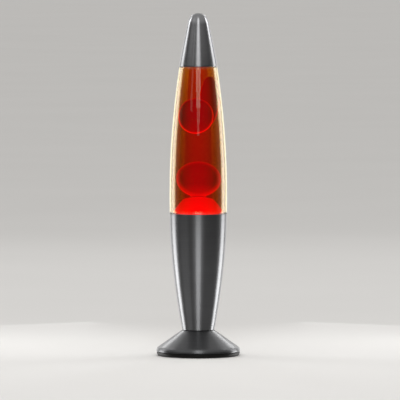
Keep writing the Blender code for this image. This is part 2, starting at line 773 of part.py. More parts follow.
def lower_blob_path(grow=0.0):
    """The lower blob's side, from its flat foot on the mound to its top."""
    bore = bore_radius(at_share(LOWER_BLOB["height"]))
    middle = at_share(LOWER_BLOB["height"])
    width = LOWER_BLOB["width"] * bore + grow
    length = LOWER_BLOB["length"] * GLASS_LENGTH + grow
    neck = MOUND_NECK * bore_radius(rim_z)
    low = at_share(MOUND_RISE)
    path = [(neck - 0.6 * MM + grow, low), (neck + 0.4 * MM + grow, low + 2.0 * MM)]
    start = math.degrees(-0.74)
    for angle in spread(start, 75, 8):
        turn = math.radians(angle)
        path.append((width * math.cos(turn), middle + length * math.sin(turn)))
    return [*path, (0, middle + length)]


def blob(name, look, kind, grow=0.0):
    """A rounded blob away from the bottle's axis."""
    middle = at_share(look["height"])
    bore = bore_radius(middle)
    bm = bmesh.new()
    bmesh.ops.create_uvsphere(bm, u_segments=14, v_segments=10, radius=1.0)
    size = Vector((look["width"] * bore, look["depth"] * bore, look["length"] * GLASS_LENGTH))
    bmesh.ops.scale(bm, vec=size + Vector((grow, grow, grow)), verts=bm.verts)
    item = finished(name, bm, kind)
    place = Vector((look["x"] * bore, look["y"] * bore, middle))
    return shape(item, Matrix.Translation(place)), place, bore


def make_wax():
    """The pool with its heating coil, and the three blobs of wax."""
    floor = bottle_z + GLASS_FLOOR + TOUCH
    wall = seat_radius() - GLASS_WALL - TOUCH
    groove = COIL_RADIUS + LOOSE
    circle = wall + TOUCH - COIL_INSET
    under = floor + 2 * groove
    pool = [
        (0, floor),
        (circle - groove, floor),
        (circle - groove, under),
        (circle + groove, under),
        (circle + groove, floor),
        (wall - 2.0 * MM, floor),
        (wall, floor + 2.0 * MM),
        *mound_path(),
        (0, at_share(MOUND_RISE) - TOUCH),
    ]
    turned("wax_pool", pool, "wax")

    section = ring_outline(COIL_RADIUS, 8)
    middle = floor + COIL_RADIUS + 0.1 * MM
    loop = [(circle + x, middle + y) for x, y in section]
    turned("heat_coil", loop, "steel")

    turned("wax_blob_lower", [(0, at_share(MOUND_RISE)), *lower_blob_path()], "wax")
    blob("wax_blob_front", FRONT_BLOB, "wax")
    blob("wax_blob_back", BACK_BLOB, "wax")


def make_liquid():
    """The liquid around the wax, up into the bottle's neck.

    A narrow channel joins the two upper hollows to the outside at the back.
    """
    gap = WAX_CLEARANCE
    shore = mound_path(lift=gap)
    up = [(bore_radius(z) - TOUCH, z) for z in spread(rim_z + 2.0 * MM, shoulder_z - 4.0 * MM, 7)]
    surface = shoulder_z + LIQUID_RISE
    neck = CAP_RADIUS - SHELL - LOOSE - GLASS_WALL
    loop = [
        *lower_blob_path(gap)[::-1],
        *shore[:-1][::-1],
        *up,
        (neck - 0.3 * MM - TOUCH, shoulder_z),
        (neck - 2.4 * MM, surface),
        (0, surface),
    ]
    item = turned("liquid", loop, "liquid")
    cutter, front, _ = blob("front_hollow", FRONT_BLOB, None, gap)
    boolean(item, cutter, "DIFFERENCE")
    cutter, back, bore = blob("back_hollow", BACK_BLOB, None, gap)
    boolean(item, cutter, "DIFFERENCE")
    half = SLOT_WIDTH / 2
    level = min(front.z, back.z) + 4.0 * MM
    for name, start, reach in (("front_channel", front, 0), ("back_channel", back, bore)):
        along = (back - front) if reach == 0 else Vector((back.x, back.y, 0))
        along.z = 0
        length = along.length if reach == 0 else reach
        turn = math.atan2(along.y, along.x)
        outline = [(0, -half), (length, -half), (length, half), (0, half)]
        channel = prism(name, outline, level - half, level + half, None)
        place = Matrix.Translation((start.x, start.y, 0)) @ Matrix.Rotation(turn, 4, "Z")
        boolean(item, shape(channel, place), "DIFFERENCE")


# Cap ---------------------------------------------------------------------------------------------


def make_cap():
    """The spun cap that drops over the bottle's neck."""
    low = shoulder_z + TOUCH
    joint = low + 0.78 * CAP_LENGTH
    side = [(cap_radius(z), z) for z in spread(low, joint, 6)]
    reach = cap_radius(joint)
    tip = curved(side[-1], (reach * 0.85, joint + 8.0 * MM), (reach * 0.58, top_z), (0, top_z), 5)
    turned("cap_shell", thickened([*side, *tip[1:]], SHELL), "aluminium")


# Mains wiring ------------------------------------------------------------------------------------


def make_wiring():
    """The terminal block on the bottom plate, its screws, and the two leads to the lampholder."""
    low = RING_LEDGE + PLATE_THICKNESS + 2 * TOUCH
    high = low + BLOCK_SIZE.z
    half = BLOCK_SIZE / 2
    outline = [(-half.x, -half.y), (half.x, -half.y), (half.x, half.y), (-half.x, half.y)]
    block = prism("terminal_block", outline, low, high, "polymer")
    shape(block, Matrix.Translation((0, BLOCK_BACK, 0)))
    wire_z = low + 0.4 * BLOCK_SIZE.z
    well_z = wire_z + LEAD_RADIUS
    number = 0
    for side in (-1, 1):
        run = disc(f"wire_way_{side + 2}", WIRE_HOLE, -BLOCK_SIZE.y, BLOCK_SIZE.y, None, SMALL)
        lay = Matrix.Translation((side * POLE_SPREAD, BLOCK_BACK, wire_z))
        boolean(block, shape(run, lay @ Matrix.Rotation(math.pi / 2, 4, "X")), "DIFFERENCE")
        for end in (-1, 1):
            number += 1
            place = Matrix.Translation((side * POLE_SPREAD, BLOCK_BACK + end * WELL_SPREAD, 0))
            well = disc(f"well_{number}", WELL_RADIUS, wire_z, high + MM, None, SMALL)
            boolean(block, shape(well, place), "DIFFERENCE")
            head = Vector((WELL_RADIUS - TOUCH, 1.4 * MM))
            top = high - 1.9 * MM
            screw = make_screw(f"block_screw_{number}", top, well_z, "brass", head=head)
            shape(screw, place)
    seat = low + 0.55 * BLOCK_SIZE.z
    place = Matrix.Translation((0, BLOCK_BACK, 0))
    shaft = disc("block_bore", SCREW_RADIUS + TOUCH, 0, high + MM, None, SMALL)
    boolean(block, shape(shaft, place), "DIFFERENCE")
    counterbore = disc("block_counterbore", SCREW_HEAD.x + TOUCH, seat, high + MM, None, SMALL)
    boolean(block, shape(counterbore, place), "DIFFERENCE")
    shape(make_screw("block_fixing_screw", seat + TOUCH, MM, "steel"), place)

    front = BLOCK_BACK - half.y - TOUCH
    entry = FOOT_HEIGHT - NIPPLE_BELOW
    leave = neck_z + SHELL + NIPPLE_ABOVE
    beside = 1.4 * MM
    end_z = insert_z - TOUCH - LEAD_RADIUS
    reach = TERMINAL_SPREAD - 2.2 * MM - TOUCH
    for side, name, kind in ((-1, "live_lead", "brown_wire"), (1, "neutral_lead", "blue_wire")):
        points = [
            (side * POLE_SPREAD, front, wire_z),
            (side * POLE_SPREAD * 0.75, front * 0.5, wire_z + 0.8 * MM),
            (side * 1.9 * MM, 1.2 * MM, entry - 3.6 * MM),
            (side * beside, 0, entry + 0.5 * MM),
            (side * beside, 0, (entry + leave) / 2),
            (side * beside, 0, leave - 0.5 * MM),
            (side * (beside + 0.5 * MM), 0, leave + 1.4 * MM),
            (side * reach, 0, end_z),
        ]
        tube(name, points, LEAD_RADIUS, kind)


remove_everything()
make_foot_shell()
make_foot_ring()
make_bottom_plate()
make_cable_bush()
make_base_cone()
make_clamp()
make_holder()
make_bulb()
make_bottle()
make_wax()
make_liquid()
make_cap()
make_wiring()
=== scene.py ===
"""A lava lamp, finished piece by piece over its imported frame. Metres, +Z up, the front faces -Y."""

import math

import bmesh
import bpy
from mathutils import Matrix, Vector


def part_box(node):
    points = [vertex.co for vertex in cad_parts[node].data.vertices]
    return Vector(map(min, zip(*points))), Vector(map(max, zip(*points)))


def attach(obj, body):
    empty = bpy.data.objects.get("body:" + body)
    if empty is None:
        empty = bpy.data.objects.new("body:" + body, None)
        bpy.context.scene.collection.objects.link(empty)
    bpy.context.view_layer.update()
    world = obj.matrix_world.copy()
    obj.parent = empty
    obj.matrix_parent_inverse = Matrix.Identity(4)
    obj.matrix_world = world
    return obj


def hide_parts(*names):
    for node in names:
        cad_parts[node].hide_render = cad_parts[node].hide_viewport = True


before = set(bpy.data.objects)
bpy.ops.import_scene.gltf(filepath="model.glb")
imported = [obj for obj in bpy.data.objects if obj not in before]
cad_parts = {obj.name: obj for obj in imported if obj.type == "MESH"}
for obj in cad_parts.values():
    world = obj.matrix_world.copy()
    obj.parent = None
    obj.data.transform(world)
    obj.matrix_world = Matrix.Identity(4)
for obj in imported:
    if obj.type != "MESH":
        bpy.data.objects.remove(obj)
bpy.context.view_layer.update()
MM = 0.001

# Studio -------------------------------------------------------------------
# A long-lens camera a little above the lamp and a wide pale floor that fills the background. Tall
# soft panels behind the lamp's shoulders draw its bright edges, and a strip that runs from the floor
# in front, up and over the lamp draws the line down its middle.

SEEN_FIELD = 0.397  # across the picture, at the lamp
CAMERA_PLACE = Vector((0.0017, -6.0, 0.48))
CAMERA_AIM = Vector((0.0017, 0.0, 0.1546))
SENSOR = 36.0
FAR_CLIP = 200.0
PANEL_DISTANCE = 0.45
PANEL_SPREAD = 120
PANEL_TURNS = ((28, 28), (62, 25))  # degrees from straight behind, and degrees wide
PANEL_LEVELS = (  # foot, top, and the brightness at each turn
    (-0.24, 0.08, (0.40, 2.7)),
    (0.08, 0.43, (0.38, 1.2)),
    (0.43, 0.62, (0.0, 3.0)),
)
STRIP_LENGTH = 2.6
STRIPS = (  # width, foot and brightness
    (0.30, 0.42, 0.5),
    (0.40, 0.50, 1.8),
    (0.62, 0.59, 1.7),
    (0.84, 0.69, 1.6),
    (1.06, 0.80, 1.4),
)
FRONT_LIGHTS = (  # name, place, size and brightness
    ("low_strip", (0, -2.0, -0.60), (0.75, 0.94), 3.2),
    ("cap_strip", (0, -1.96, 2.26), (0.34, STRIP_LENGTH), 2.2),
    ("low_glow", (0, -2.04, -0.60), (1.7, 0.94), 0.5),
    ("left_high", (-1.7, -0.9, 1.9), (1.2, 2.2), 0.35),
    ("left_low", (-1.7, -0.9, -0.62), (1.4, 0.88), 0.35),
    ("left_strip", (-1.12, -1.66, 1.75), (0.35, 2.4), 0.35),
)

camera = bpy.data.objects.new("camera", bpy.data.cameras.new("camera"))
bpy.context.scene.collection.objects.link(camera)
camera.location = CAMERA_PLACE
camera.rotation_euler = (CAMERA_AIM - CAMERA_PLACE).to_track_quat("-Z", "Y").to_euler()
camera.data.sensor_width = SENSOR
camera.data.lens = camera.data.sensor_width * (CAMERA_AIM - CAMERA_PLACE).length / SEEN_FIELD
camera.data.clip_end = FAR_CLIP
bpy.context.scene.camera = camera
bpy.context.scene.view_settings.view_transform = "Standard"


def soft_panel(name, place, size, brightness, spread=180):
    """A soft upright light that faces the lamp's axis and that the camera doesn't see directly."""
    lamp = bpy.data.lights.new(name, "AREA")
    lamp.shape = "RECTANGLE"
    lamp.size, lamp.size_y = size
    lamp.energy = brightness * math.pi * size[0] * size[1]
    lamp.spread = math.radians(spread)
    holder = bpy.data.objects.new(name, lamp)
    bpy.context.scene.collection.objects.link(holder)
    holder.location = place
    holder.rotation_euler = Vector((-place[0], -place[1], 0)).to_track_quat("-Z", "Y").to_euler()
    holder.visible_camera = False


for side in (-1, 1):
    for foot, top, levels in PANEL_LEVELS:
        for (turn, width), brightness in zip(PANEL_TURNS, levels):
            toward = Vector((side * math.sin(math.radians(turn)), math.cos(math.radians(turn)), 0))
            place = toward * PANEL_DISTANCE + Vector((0, 0, (top + foot) / 2))
            size = (2 * PANEL_DISTANCE * math.tan(math.radians(width / 2)), top - foot)
            soft_panel(f"panel_{side * turn}", place, size, brightness, PANEL_SPREAD)
    soft_panel(f"foot_panel_{side}", (side * 0.68, 1.88, 1.08), (0.36, 0.44), 5.0)
for width, foot, brightness in STRIPS:
    soft_panel(f"strip_{foot}", (0, -2.0, foot + STRIP_LENGTH / 2), (width, STRIP_LENGTH), brightness)
for name, place, size, brightness in FRONT_LIGHTS:
    soft_panel(name, place, size, brightness)


class Wire:
    """A socket in a node tree. Python's operators on it add Math nodes."""

    def __init__(self, finish, socket):
        self.finish = finish
        self.socket = socket

    def __add__(self, other):
        return self.finish.maths("ADD", self, other)

    __radd__ = __add__

    def __sub__(self, other):
        return self.finish.maths("SUBTRACT", self, other)

    def __rsub__(self, other):
        return self.finish.maths("SUBTRACT", other, self)

    def __mul__(self, other):
        return self.finish.maths("MULTIPLY", self, other)

    __rmul__ = __mul__

    def __pow__(self, other):
        return self.finish.maths("POWER", self, other)


class Finish:
    """A procedural material, or the sky's or a shape's node tree, built node by node."""

    def __init__(self, name, tree=None):
        if tree is None:
            self.material = bpy.data.materials.new(name)
            self.material.use_nodes = True
            tree = self.material.node_tree
        self.tree = tree
        self.tree.nodes.clear()

    def node(self, kind, settings=None, inputs=None, output=0):
        """Adds a node: its settings first, then its sockets' values or links. Gives one output."""
        made = self.tree.nodes.new(kind)
        for name, value in (settings or {}).items():
            if name == "stops":
                ramp = made.color_ramp
                while len(ramp.elements) < len(value):
                    ramp.elements.new(0.5)
                for stop, (place, colour) in zip(ramp.elements, value):
                    stop.position = place
                    stop.color = (*colour, 1.0)
            else:
                setattr(made, name, value)
        for name, value in (inputs or {}).items():
            if isinstance(value, Wire):
                self.tree.links.new(value.socket, made.inputs[name])
            elif isinstance(value, (tuple, list)) and made.inputs[name].type == "RGBA":
                made.inputs[name].default_value = (*value, 1.0)
            else:
                made.inputs[name].default_value = value
        return Wire(self, made.outputs[output]) if made.outputs else None

    def maths(self, operation, a, b):
        return self.node("ShaderNodeMath", {"operation": operation}, {0: a, 1: b})

    def place(self, scale=(1.0, 1.0, 1.0)):
        """The piece's own coordinates, stretched for a pattern."""
        own = self.node("ShaderNodeTexCoord", output="Object")
        return self.node("ShaderNodeMapping", inputs={"Vector": own, "Scale": scale})

    def along(self, vector, axis):
        """One coordinate of a vector."""
        return self.node("ShaderNodeSeparateXYZ", inputs={0: vector}, output=axis)

    def facing(self):
        """How far the surface turns away from the eye."""
        return self.node("ShaderNodeLayerWeight", inputs={"Blend": 0.5}, output="Facing")

    def noise(self, scale, detail=3.0, rough=0.5, stretch=(1.0, 1.0, 1.0)):
        values = {"Vector": self.place(stretch), "Scale": scale, "Detail": detail, "Roughness": rough}
        return self.node("ShaderNodeTexNoise", inputs=values)

    def ramp(self, value, *stops):
        return self.node("ShaderNodeValToRGB", {"stops": stops}, {"Fac": value})

    def between(self, share, low, high):
        """A value carried from 0..1 to low..high."""
        settings = {"clamp": True}
        values = {"Value": share, "To Min": low, "To Max": high}
        return self.node("ShaderNodeMapRange", settings, values)

    def blend(self, share, a, b):
        """One colour over another."""
        return self.node("ShaderNodeMix", {"data_type": "RGBA"}, {0: share, 6: a, 7: b}, output=2)

    def bump(self, height, distance, strength):
        values = {"Height": height, "Distance": distance, "Strength": strength}
        return self.node("ShaderNodeBump", inputs=values)

    def principled(self, **sockets):
        """The shader, its sockets named with underscores for their spaces."""
        values = {name.replace("_", " "): value for name, value in sockets.items()}
        return self.node("ShaderNodeBsdfPrincipled", inputs=values)

    def done(self, surface, volume=None):
        links = {"Surface": surface}
        if volume is not None:
            links["Volume"] = volume
        self.node("ShaderNodeOutputMaterial", inputs=links)
        return self.material


# The sky is dim at the lamp's height in front, brighter behind, and bright overhead.
SKY_LOW, SKY_HIGH, SKY_BEHIND, SKY_UNDER = 0.03, 0.85, 0.45, 0.45

sky = bpy.data.worlds.new("sky")
bpy.context.scene.world = sky
sky.use_nodes = True
air = Finish("sky", sky.node_tree)
toward = air.node("ShaderNodeTexCoord", output="Generated")
height = air.along(toward, "Z")
depth = air.along(toward, "Y")
low = air.node(
    "ShaderNodeMapRange", {"clamp": True},
    {"Value": depth, "From Min": -0.2, "From Max": 0.5, "To Min": SKY_LOW, "To Max": SKY_BEHIND},
)
lifted = air.node("ShaderNodeMapRange", {"interpolation_type": "SMOOTHSTEP"},
                  {"Value": height, "From Min": 0.24, "From Max": 0.55})
under = air.node("ShaderNodeMapRange", {"interpolation_type": "SMOOTHSTEP"},
                 {"Value": height, "From Min": -0.15, "From Max": -0.20})
level = low * (1.0 - lifted) * (1.0 - under) + lifted * SKY_HIGH + under * SKY_UNDER
glow = air.node("ShaderNodeBackground", inputs={"Color": (1.0, 0.99, 0.975), "Strength": level})
air.node("ShaderNodeOutputWorld", inputs={"Surface": glow})

FLOOR_REACH = 40.0

slab = bmesh.new()
bmesh.ops.create_grid(slab, x_segments=8, y_segments=8, size=FLOOR_REACH)
floor_mesh = bpy.data.meshes.new("floor")
slab.to_mesh(floor_mesh)
slab.free()
floor = bpy.data.objects.new("floor", floor_mesh)
bpy.context.scene.collection.objects.link(floor)
plaster = Finish("pale_floor")
tone = plaster.ramp(plaster.noise(3.0), (0.3, (0.635, 0.625, 0.61)), (0.7, (0.65, 0.64, 0.625)))
floor_mesh.materials.append(plaster.done(plaster.principled(Base_Color=tone, Roughness=0.7)))
floor.visible_glossy = False
floor.visible_transmission = False

# Foot shell ---------------------------------------------------------------
# A disc of aluminium spun over a former into a low cone with a rolled shoulder, satin brushed on
# the lathe and anodised dark grey. Its back edge is notched for the cable bush.

LATHE_SIDES = 144
CREASE = 38  # degrees, where smooth shading gives way to an edge
SHEET = 0.8 * MM
TUBE_HOLE = 5.3 * MM  # for the clamping tube
NECK_SHARE = 0.5615  # of the base cone's rim, where the cone stands on the foot
FOOT_RIM_HEIGHT = 4.1 * MM  # of the rolled shoulder
FOOT_RIM_WIDTH = 1.5 * MM
SLOPE_STEPS = 16
BUSH_FLANGE = 0.7 * MM

foot_low, foot_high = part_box("foot_shell")
foot_radius = foot_high[0]
foot_bottom, foot_top = foot_low[2], foot_high[2]
neck_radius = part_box("base_cone")[1][0] * NECK_SHARE
bush_low, bush_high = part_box("cable_bush")


def curved(start, bend_a, bend_b, end, steps):
    """Points of a cubic curve through (radius, height), its ends included."""
    a, b, c, d = Vector(start), Vector(bend_a), Vector(bend_b), Vector(end)
    for step in range(steps + 1):
        t = step / steps
        yield tuple(a * (1 - t) ** 3 + b * 3 * t * (1 - t) ** 2 + c * 3 * t * t * (1 - t) + d * t**3)


def eased(points, radius, steps=4):
    """A closed loop of (radius, height) with each corner rounded, except on the axis."""
    loop = []
    for i, here in enumerate(points):
        here = Vector(here)
        before = Vector(points[i - 1]) - here
        after = Vector(points[(i + 1) % len(points)]) - here
        reach = min(radius, before.length * 0.45, after.length * 0.45)
        if here.x < 1e-7 or before.angle(after, math.pi) > math.radians(165) or reach < 2e-6:
            loop.append(tuple(here))
            continue
        a, b = here + before.normalized() * reach, here + after.normalized() * reach
        for step in range(steps + 1):
            t = step / steps
            loop.append(tuple(a * (1 - t) ** 2 + here * 2 * t * (1 - t) + b * t * t))
    return loop


def walled(path, wall):
    """A path of (radius, height) and, to its left at a wall's thickness, the way back."""
    inner = []
    for i, point in enumerate(path):
        sides = [Vector(path[i]) - Vector(path[i - 1])] if i else []
        sides += [Vector(path[i + 1]) - Vector(path[i])] if i + 1 < len(path) else []
        across = sum((Vector((-s.y, s.x)).normalized() for s in sides), Vector((0, 0))).normalized()
        if point[0] < 1e-7:
            across = Vector((0, math.copysign(1, across.y)))
        inner.append(tuple(Vector(point) + across * wall))
    return [*path, *inner[::-1]]


def as_piece(name, bm, finish, body, *nodes, slot=None, crease=CREASE):
    """A mesh made an object that rides on a body and stands for CAD nodes."""
    bmesh.ops.recalc_face_normals(bm, faces=bm.faces)
    mesh = bpy.data.meshes.new(name)
    bm.to_mesh(mesh)
    bm.free()
    mesh.shade_smooth()
    mesh.set_sharp_from_angle(angle=math.radians(crease))
    mesh.materials.append(finish)
    piece = bpy.data.objects.new(name, mesh)
    bpy.context.scene.collection.objects.link(piece)
    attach(piece, body)
    if nodes:
        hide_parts(*nodes)
    return piece


def lathed(loop, sides=LATHE_SIDES, ripple=None):
    """A closed loop of (radius, height) turned about Z. ripple(angle, radius, height) adds to the radius."""
    bm = bmesh.new()
    rings = []
    for radius, height in loop:
        if radius < 1e-7:
            rings.append([bm.verts.new((0, 0, height))])
            continue
        ring = []
        for step in range(sides):
            angle = 2 * math.pi * step / sides
            reach = radius + (ripple(angle, radius, height) if ripple else 0.0)
            ring.append(bm.verts.new((reach * math.cos(angle), reach * math.sin(angle), height)))
        rings.append(ring)
    for here, there in zip(rings, rings[1:] + rings[:1]):
        if len(here) == len(there) == 1:
            continue
        for step in range(sides):
            after = (step + 1) % sides
            corners = [here[step % len(here)], here[after % len(here)]]
            corners += [there[after % len(there)], there[step % len(there)]]
            bm.faces.new(list(dict.fromkeys(corners)))
    return bm


def brushed(name, tone, shine):
    """Aluminium brushed on the lathe: fine rings round the axis, soft mottling, a few deeper marks."""
    coat = Finish(name)
    fine = coat.noise(1.0, 2.0, 0.6, (9.0, 9.0, 2600.0))
    broad = coat.noise(1.0, 3.0, 0.5, (14.0, 14.0, 700.0))
    cloud = coat.noise(38.0, 4.0, 0.55)
    marks = coat.node(
        "ShaderNodeTexWave", {"bands_direction": "Z"},
        {"Vector": coat.place(), "Scale": 310.0, "Distortion": 3.0, "Detail": 2.0, "Detail Scale": 0.4},
    )
    dark = tuple(0.86 * c for c in tone)
    light = tuple(1.14 * c for c in tone)
    colour = coat.ramp(fine * 0.5 + cloud * 0.5, (0.30, dark), (0.5, tone), (0.72, light))
    rough = coat.between(fine * 0.25 + broad * 0.45 + cloud * 0.3, shine - 0.03, shine + 0.04)
    relief = coat.bump(fine * 0.6 + broad * 0.3 + marks * 0.1, 0.00001, 0.06)
    return coat.done(coat.principled(
        Base_Color=colour, Metallic=1.0, Roughness=rough, Normal=relief, Anisotropic=0.75,
        Anisotropic_Rotation=0.25))


def notch(piece):
    """Cuts the cable bush's seat through a piece and leaves a plain mesh."""
    middle = (bush_low[2] + bush_high[2]) / 2
    around = (bush_high[2] - bush_low[2]) / 2 - BUSH_FLANGE + 0.4 * MM
    drill = bpy.data.objects.new("drill", bpy.data.meshes.new("drill"))
    bm = lathed([(0, -2 * MM), (around, -2 * MM), (around, 12 * MM), (0, 12 * MM)], 48)
    bmesh.ops.transform(bm, matrix=Matrix.Rotation(-math.pi / 2, 4, "X"), verts=bm.verts)
    bmesh.ops.translate(bm, verts=bm.verts, vec=(0, bush_low[1], middle))
    bmesh.ops.recalc_face_normals(bm, faces=bm.faces)
    bm.to_mesh(drill.data)
    bm.free()
    bpy.context.scene.collection.objects.link(drill)
    cut = piece.modifiers.new("notch", "BOOLEAN")
    cut.operation = "DIFFERENCE"
    cut.solver = "EXACT"
    cut.object = drill
    whole = bpy.data.meshes.new_from_object(piece.evaluated_get(bpy.context.evaluated_depsgraph_get()))
    piece.modifiers.remove(cut)
    whole.set_sharp_from_angle(angle=math.radians(CREASE))
    piece.data = whole
    bpy.data.objects.remove(drill, do_unlink=True)


slope_end = (foot_radius - FOOT_RIM_WIDTH, foot_bottom + FOOT_RIM_HEIGHT)
slope_top = (neck_radius + 0.3 * MM, foot_top)
foot_path = [
    (foot_radius - 0.25 * MM, foot_bottom),
    *curved(
        (foot_radius, foot_bottom + 0.6 * MM),
        (foot_radius - 0.05 * MM, foot_bottom + 1.5 * MM),
        (foot_radius - 0.75 * MM, slope_end[1] - 0.8 * MM),
        slope_end,
        12,
    ),
    *[tuple(Vector(slope_end).lerp(slope_top, step / SLOPE_STEPS)) for step in range(1, SLOPE_STEPS + 1)],
    (TUBE_HOLE, foot_top),
]
foot_loop = eased(walled(foot_path, SHEET), 0.28 * MM)
foot_shell = as_piece(
    "foot_shell_spun", lathed(foot_loop), brushed("foot_aluminium", (0.082, 0.083, 0.086), 0.30),
    "base", "foot_shell", slot="aluminium",
)
notch(foot_shell)

# Foot ring ----------------------------------------------------------------
# A moulded black ring under the foot, on which the lamp stands, with a fine satin texture, a dark
# reveal under the metal's edge and three bosses for the bottom plate's screws.

ring_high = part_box("foot_ring")[1]
plate_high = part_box("bottom_plate")[1]


def moulded(name, colour, rough=0.42, grain=900.0, depth=0.00003, gloss=0.5):
    """Moulded plastic: a fine eroded grain, slight flow marks and a little dust in the hollows."""
    skin = Finish(name)
    pits = skin.node("ShaderNodeTexVoronoi", {"feature": "SMOOTH_F1"},
                     {"Vector": skin.place(), "Scale": grain, "Smoothness": 0.6})
    flow = skin.noise(60.0, 3.0, 0.5, (1.0, 1.0, 0.4))
    lifted = tuple(min(c * 1.5 + 0.004, 1.0) for c in colour)
    tint = skin.blend(skin.between(flow * 0.6 + pits * 0.4, 0.0, 1.0), colour, lifted)
    sheen = skin.between(flow * 0.5 + pits * 0.5, rough - 0.06, rough + 0.10)
    relief = skin.bump(pits, depth, 0.35)
    return skin.done(skin.principled(
        Base_Color=tint, Roughness=sheen, Normal=relief, Specular_IOR_Level=gloss))


ring_outer = ring_high[0]
ring_top = foot_bottom - 0.3 * MM
ledge = plate_high[0] - 2.0 * MM
inside = foot_radius - SHEET - 1.2 * MM
ring_loop = eased(
    [
        (ledge, 0),
        *curved(
            (ring_outer - 3.0 * MM, 0),
            (ring_outer - 1.4 * MM, 0.1 * MM),
            (ring_outer - 0.1 * MM, 1.0 * MM),
            (ring_outer, 2.6 * MM),
            8,
        ),
        (ring_outer, ring_top),
        (inside, ring_top),
        (inside, ring_top + 2.5 * MM),
        (inside - 2.5 * MM, ring_top + 2.5 * MM),
        (plate_high[0] + 0.4 * MM, ring_top),
        (plate_high[0] + 0.4 * MM, 1.5 * MM),
        (ledge, 1.5 * MM),
    ],
    0.25 * MM, 3,
)
ring_plastic = moulded("ring_plastic", (0.005, 0.0045, 0.004), gloss=0.1)
black_ring = as_piece(
    "foot_ring_moulded", lathed(ring_loop), ring_plastic, "base", "foot_ring", slot="black_plastic",
)
notch(black_ring)

BOSS_ANGLES = (30, 150, 270)
BOSS_BORE, BOSS_FOOT, BOSS_TOP = 1.4 * MM, 3.0 * MM, 2.9 * MM
RIB_WIDTH, RIB_HEIGHT = 2.0 * MM, 3.0 * MM
boss_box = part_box("plate_screw_1")
boss_circle = Vector(boss_box[0][:2]).lerp(Vector(boss_box[1][:2]), 0.5).length
boss_z = plate_high[2] + 0.3 * MM
bosses = bmesh.new()
for turn in BOSS_ANGLES:
    outline = [(BOSS_BORE, boss_z), (BOSS_FOOT, boss_z), (BOSS_TOP, ring_high[2]), (BOSS_BORE, ring_high[2])]
    post = lathed(eased(outline, 0.3 * MM, 2), 40)
    spot = Matrix.Rotation(math.radians(turn), 4, "Z") @ Matrix.Translation((boss_circle, 0, 0))
    bmesh.ops.transform(post, matrix=spot, verts=post.verts)
    rib = bmesh.new()
    bmesh.ops.create_cube(rib, size=1.0)
    span = inside - 1.0 * MM - boss_circle - 2.0 * MM
    bmesh.ops.scale(rib, vec=(span, RIB_WIDTH, RIB_HEIGHT), verts=rib.verts)
    out = boss_circle + 2.2 * MM + span / 2
    bmesh.ops.translate(rib, verts=rib.verts, vec=(out, 0, ring_top + 0.7 * MM))
    around = Matrix.Rotation(math.radians(turn), 3, "Z")
    bmesh.ops.rotate(rib, cent=(0, 0, 0), matrix=around, verts=rib.verts)
    bmesh.ops.bevel(rib, geom=rib.edges[:], offset=0.2 * MM, segments=2, affect="EDGES")
    for part in (post, rib):
        loose = bpy.data.meshes.new("part")
        part.to_mesh(loose)
        bosses.from_mesh(loose)
        part.free()
as_piece("foot_ring_bosses", bosses, ring_plastic, "base", "foot_ring", slot="black_plastic")

# Bottom plate and its screws ----------------------------------------------
# A blanked disc of zinc-plated steel with a ring of vents, held by three slotted screws from below.


def plated(name, tone=(0.56, 0.56, 0.55), rough=0.36, grain=240.0):
    """Plated steel: a soft crystalline spangle with a trace of yellow passivation."""
    skin = Finish(name)
    spangle = skin.node("ShaderNodeTexVoronoi", inputs={"Vector": skin.place(), "Scale": grain}, output=1)
    grey = skin.node("ShaderNodeRGBToBW", inputs={"Color": spangle})
    cloud = skin.noise(90.0, 3.0)
    warm = (tone[0] * 1.04, tone[1] * 0.99, tone[2] * 0.84)
    colour = skin.blend(cloud * 0.8, tone, warm)
    sheen = skin.between(grey * 0.7 + cloud * 0.3, rough - 0.08, rough + 0.12)
    relief = skin.bump(grey * 0.5 + cloud * 0.5, 0.00002, 0.3)
    return skin.done(skin.principled(Base_Color=colour, Metallic=1.0, Roughness=sheen, Normal=relief))


def dress(finish, *names):
    """A finish for nodes that keep their CAD shape."""
    for name in names:
        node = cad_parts[name]
        node.data.materials.clear()
        node.data.materials.append(finish)


dress(plated("plate_zinc"), "bottom_plate")
dress(
    plated("screw_zinc", (0.62, 0.61, 0.58), 0.30, 900.0),
    "plate_screw_1", "plate_screw_2", "plate_screw_3", "block_fixing_screw",
)

# Cable bush ---------------------------------------------------------------
# A soft moulded bush in the back of the foot that the cable leaves through.

BUSH_BORE = 3.1 * MM
FLANGE_THICKNESS = 1.5 * MM

bush_radius = (bush_high[2] - bush_low[2]) / 2
bush_long = bush_high[1] - bush_low[1]
bush_wall = bush_radius - BUSH_FLANGE
bush_loop = eased(
    [
        (BUSH_BORE, 0),
        (bush_radius, 0),
        (bush_radius, FLANGE_THICKNESS),
        (bush_wall, FLANGE_THICKNESS),
        (bush_wall, bush_long),
        (BUSH_BORE, bush_long),
    ],
    0.35 * MM,
)
bush = lathed(bush_loop, 64)
laid = Matrix.Rotation(-math.pi / 2, 3, "X")
bmesh.ops.rotate(bush, cent=(0, 0, 0), matrix=laid, verts=bush.verts)
bmesh.ops.translate(bush, verts=bush.verts, vec=(0, bush_low[1], (bush_low[2] + bush_high[2]) / 2))
bush_rubber = moulded("bush_rubber", (0.010, 0.010, 0.010), 0.55, 1400.0)
as_piece("cable_bush_moulded", bush, bush_rubber, "base", "cable_bush", slot="black_plastic")

# Base cone ----------------------------------------------------------------
# The tall spun cone that holds the bottle and hides the bulb. It narrows downward ever faster, ends
# in a flanged floor on the foot, and its rim is rolled true. Brushed on the lathe like the foot.

cone_low, cone_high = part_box("base_cone")
CONE_POWER = 1.75
CONE_ROWS = 96
CONE_SIDES = 160


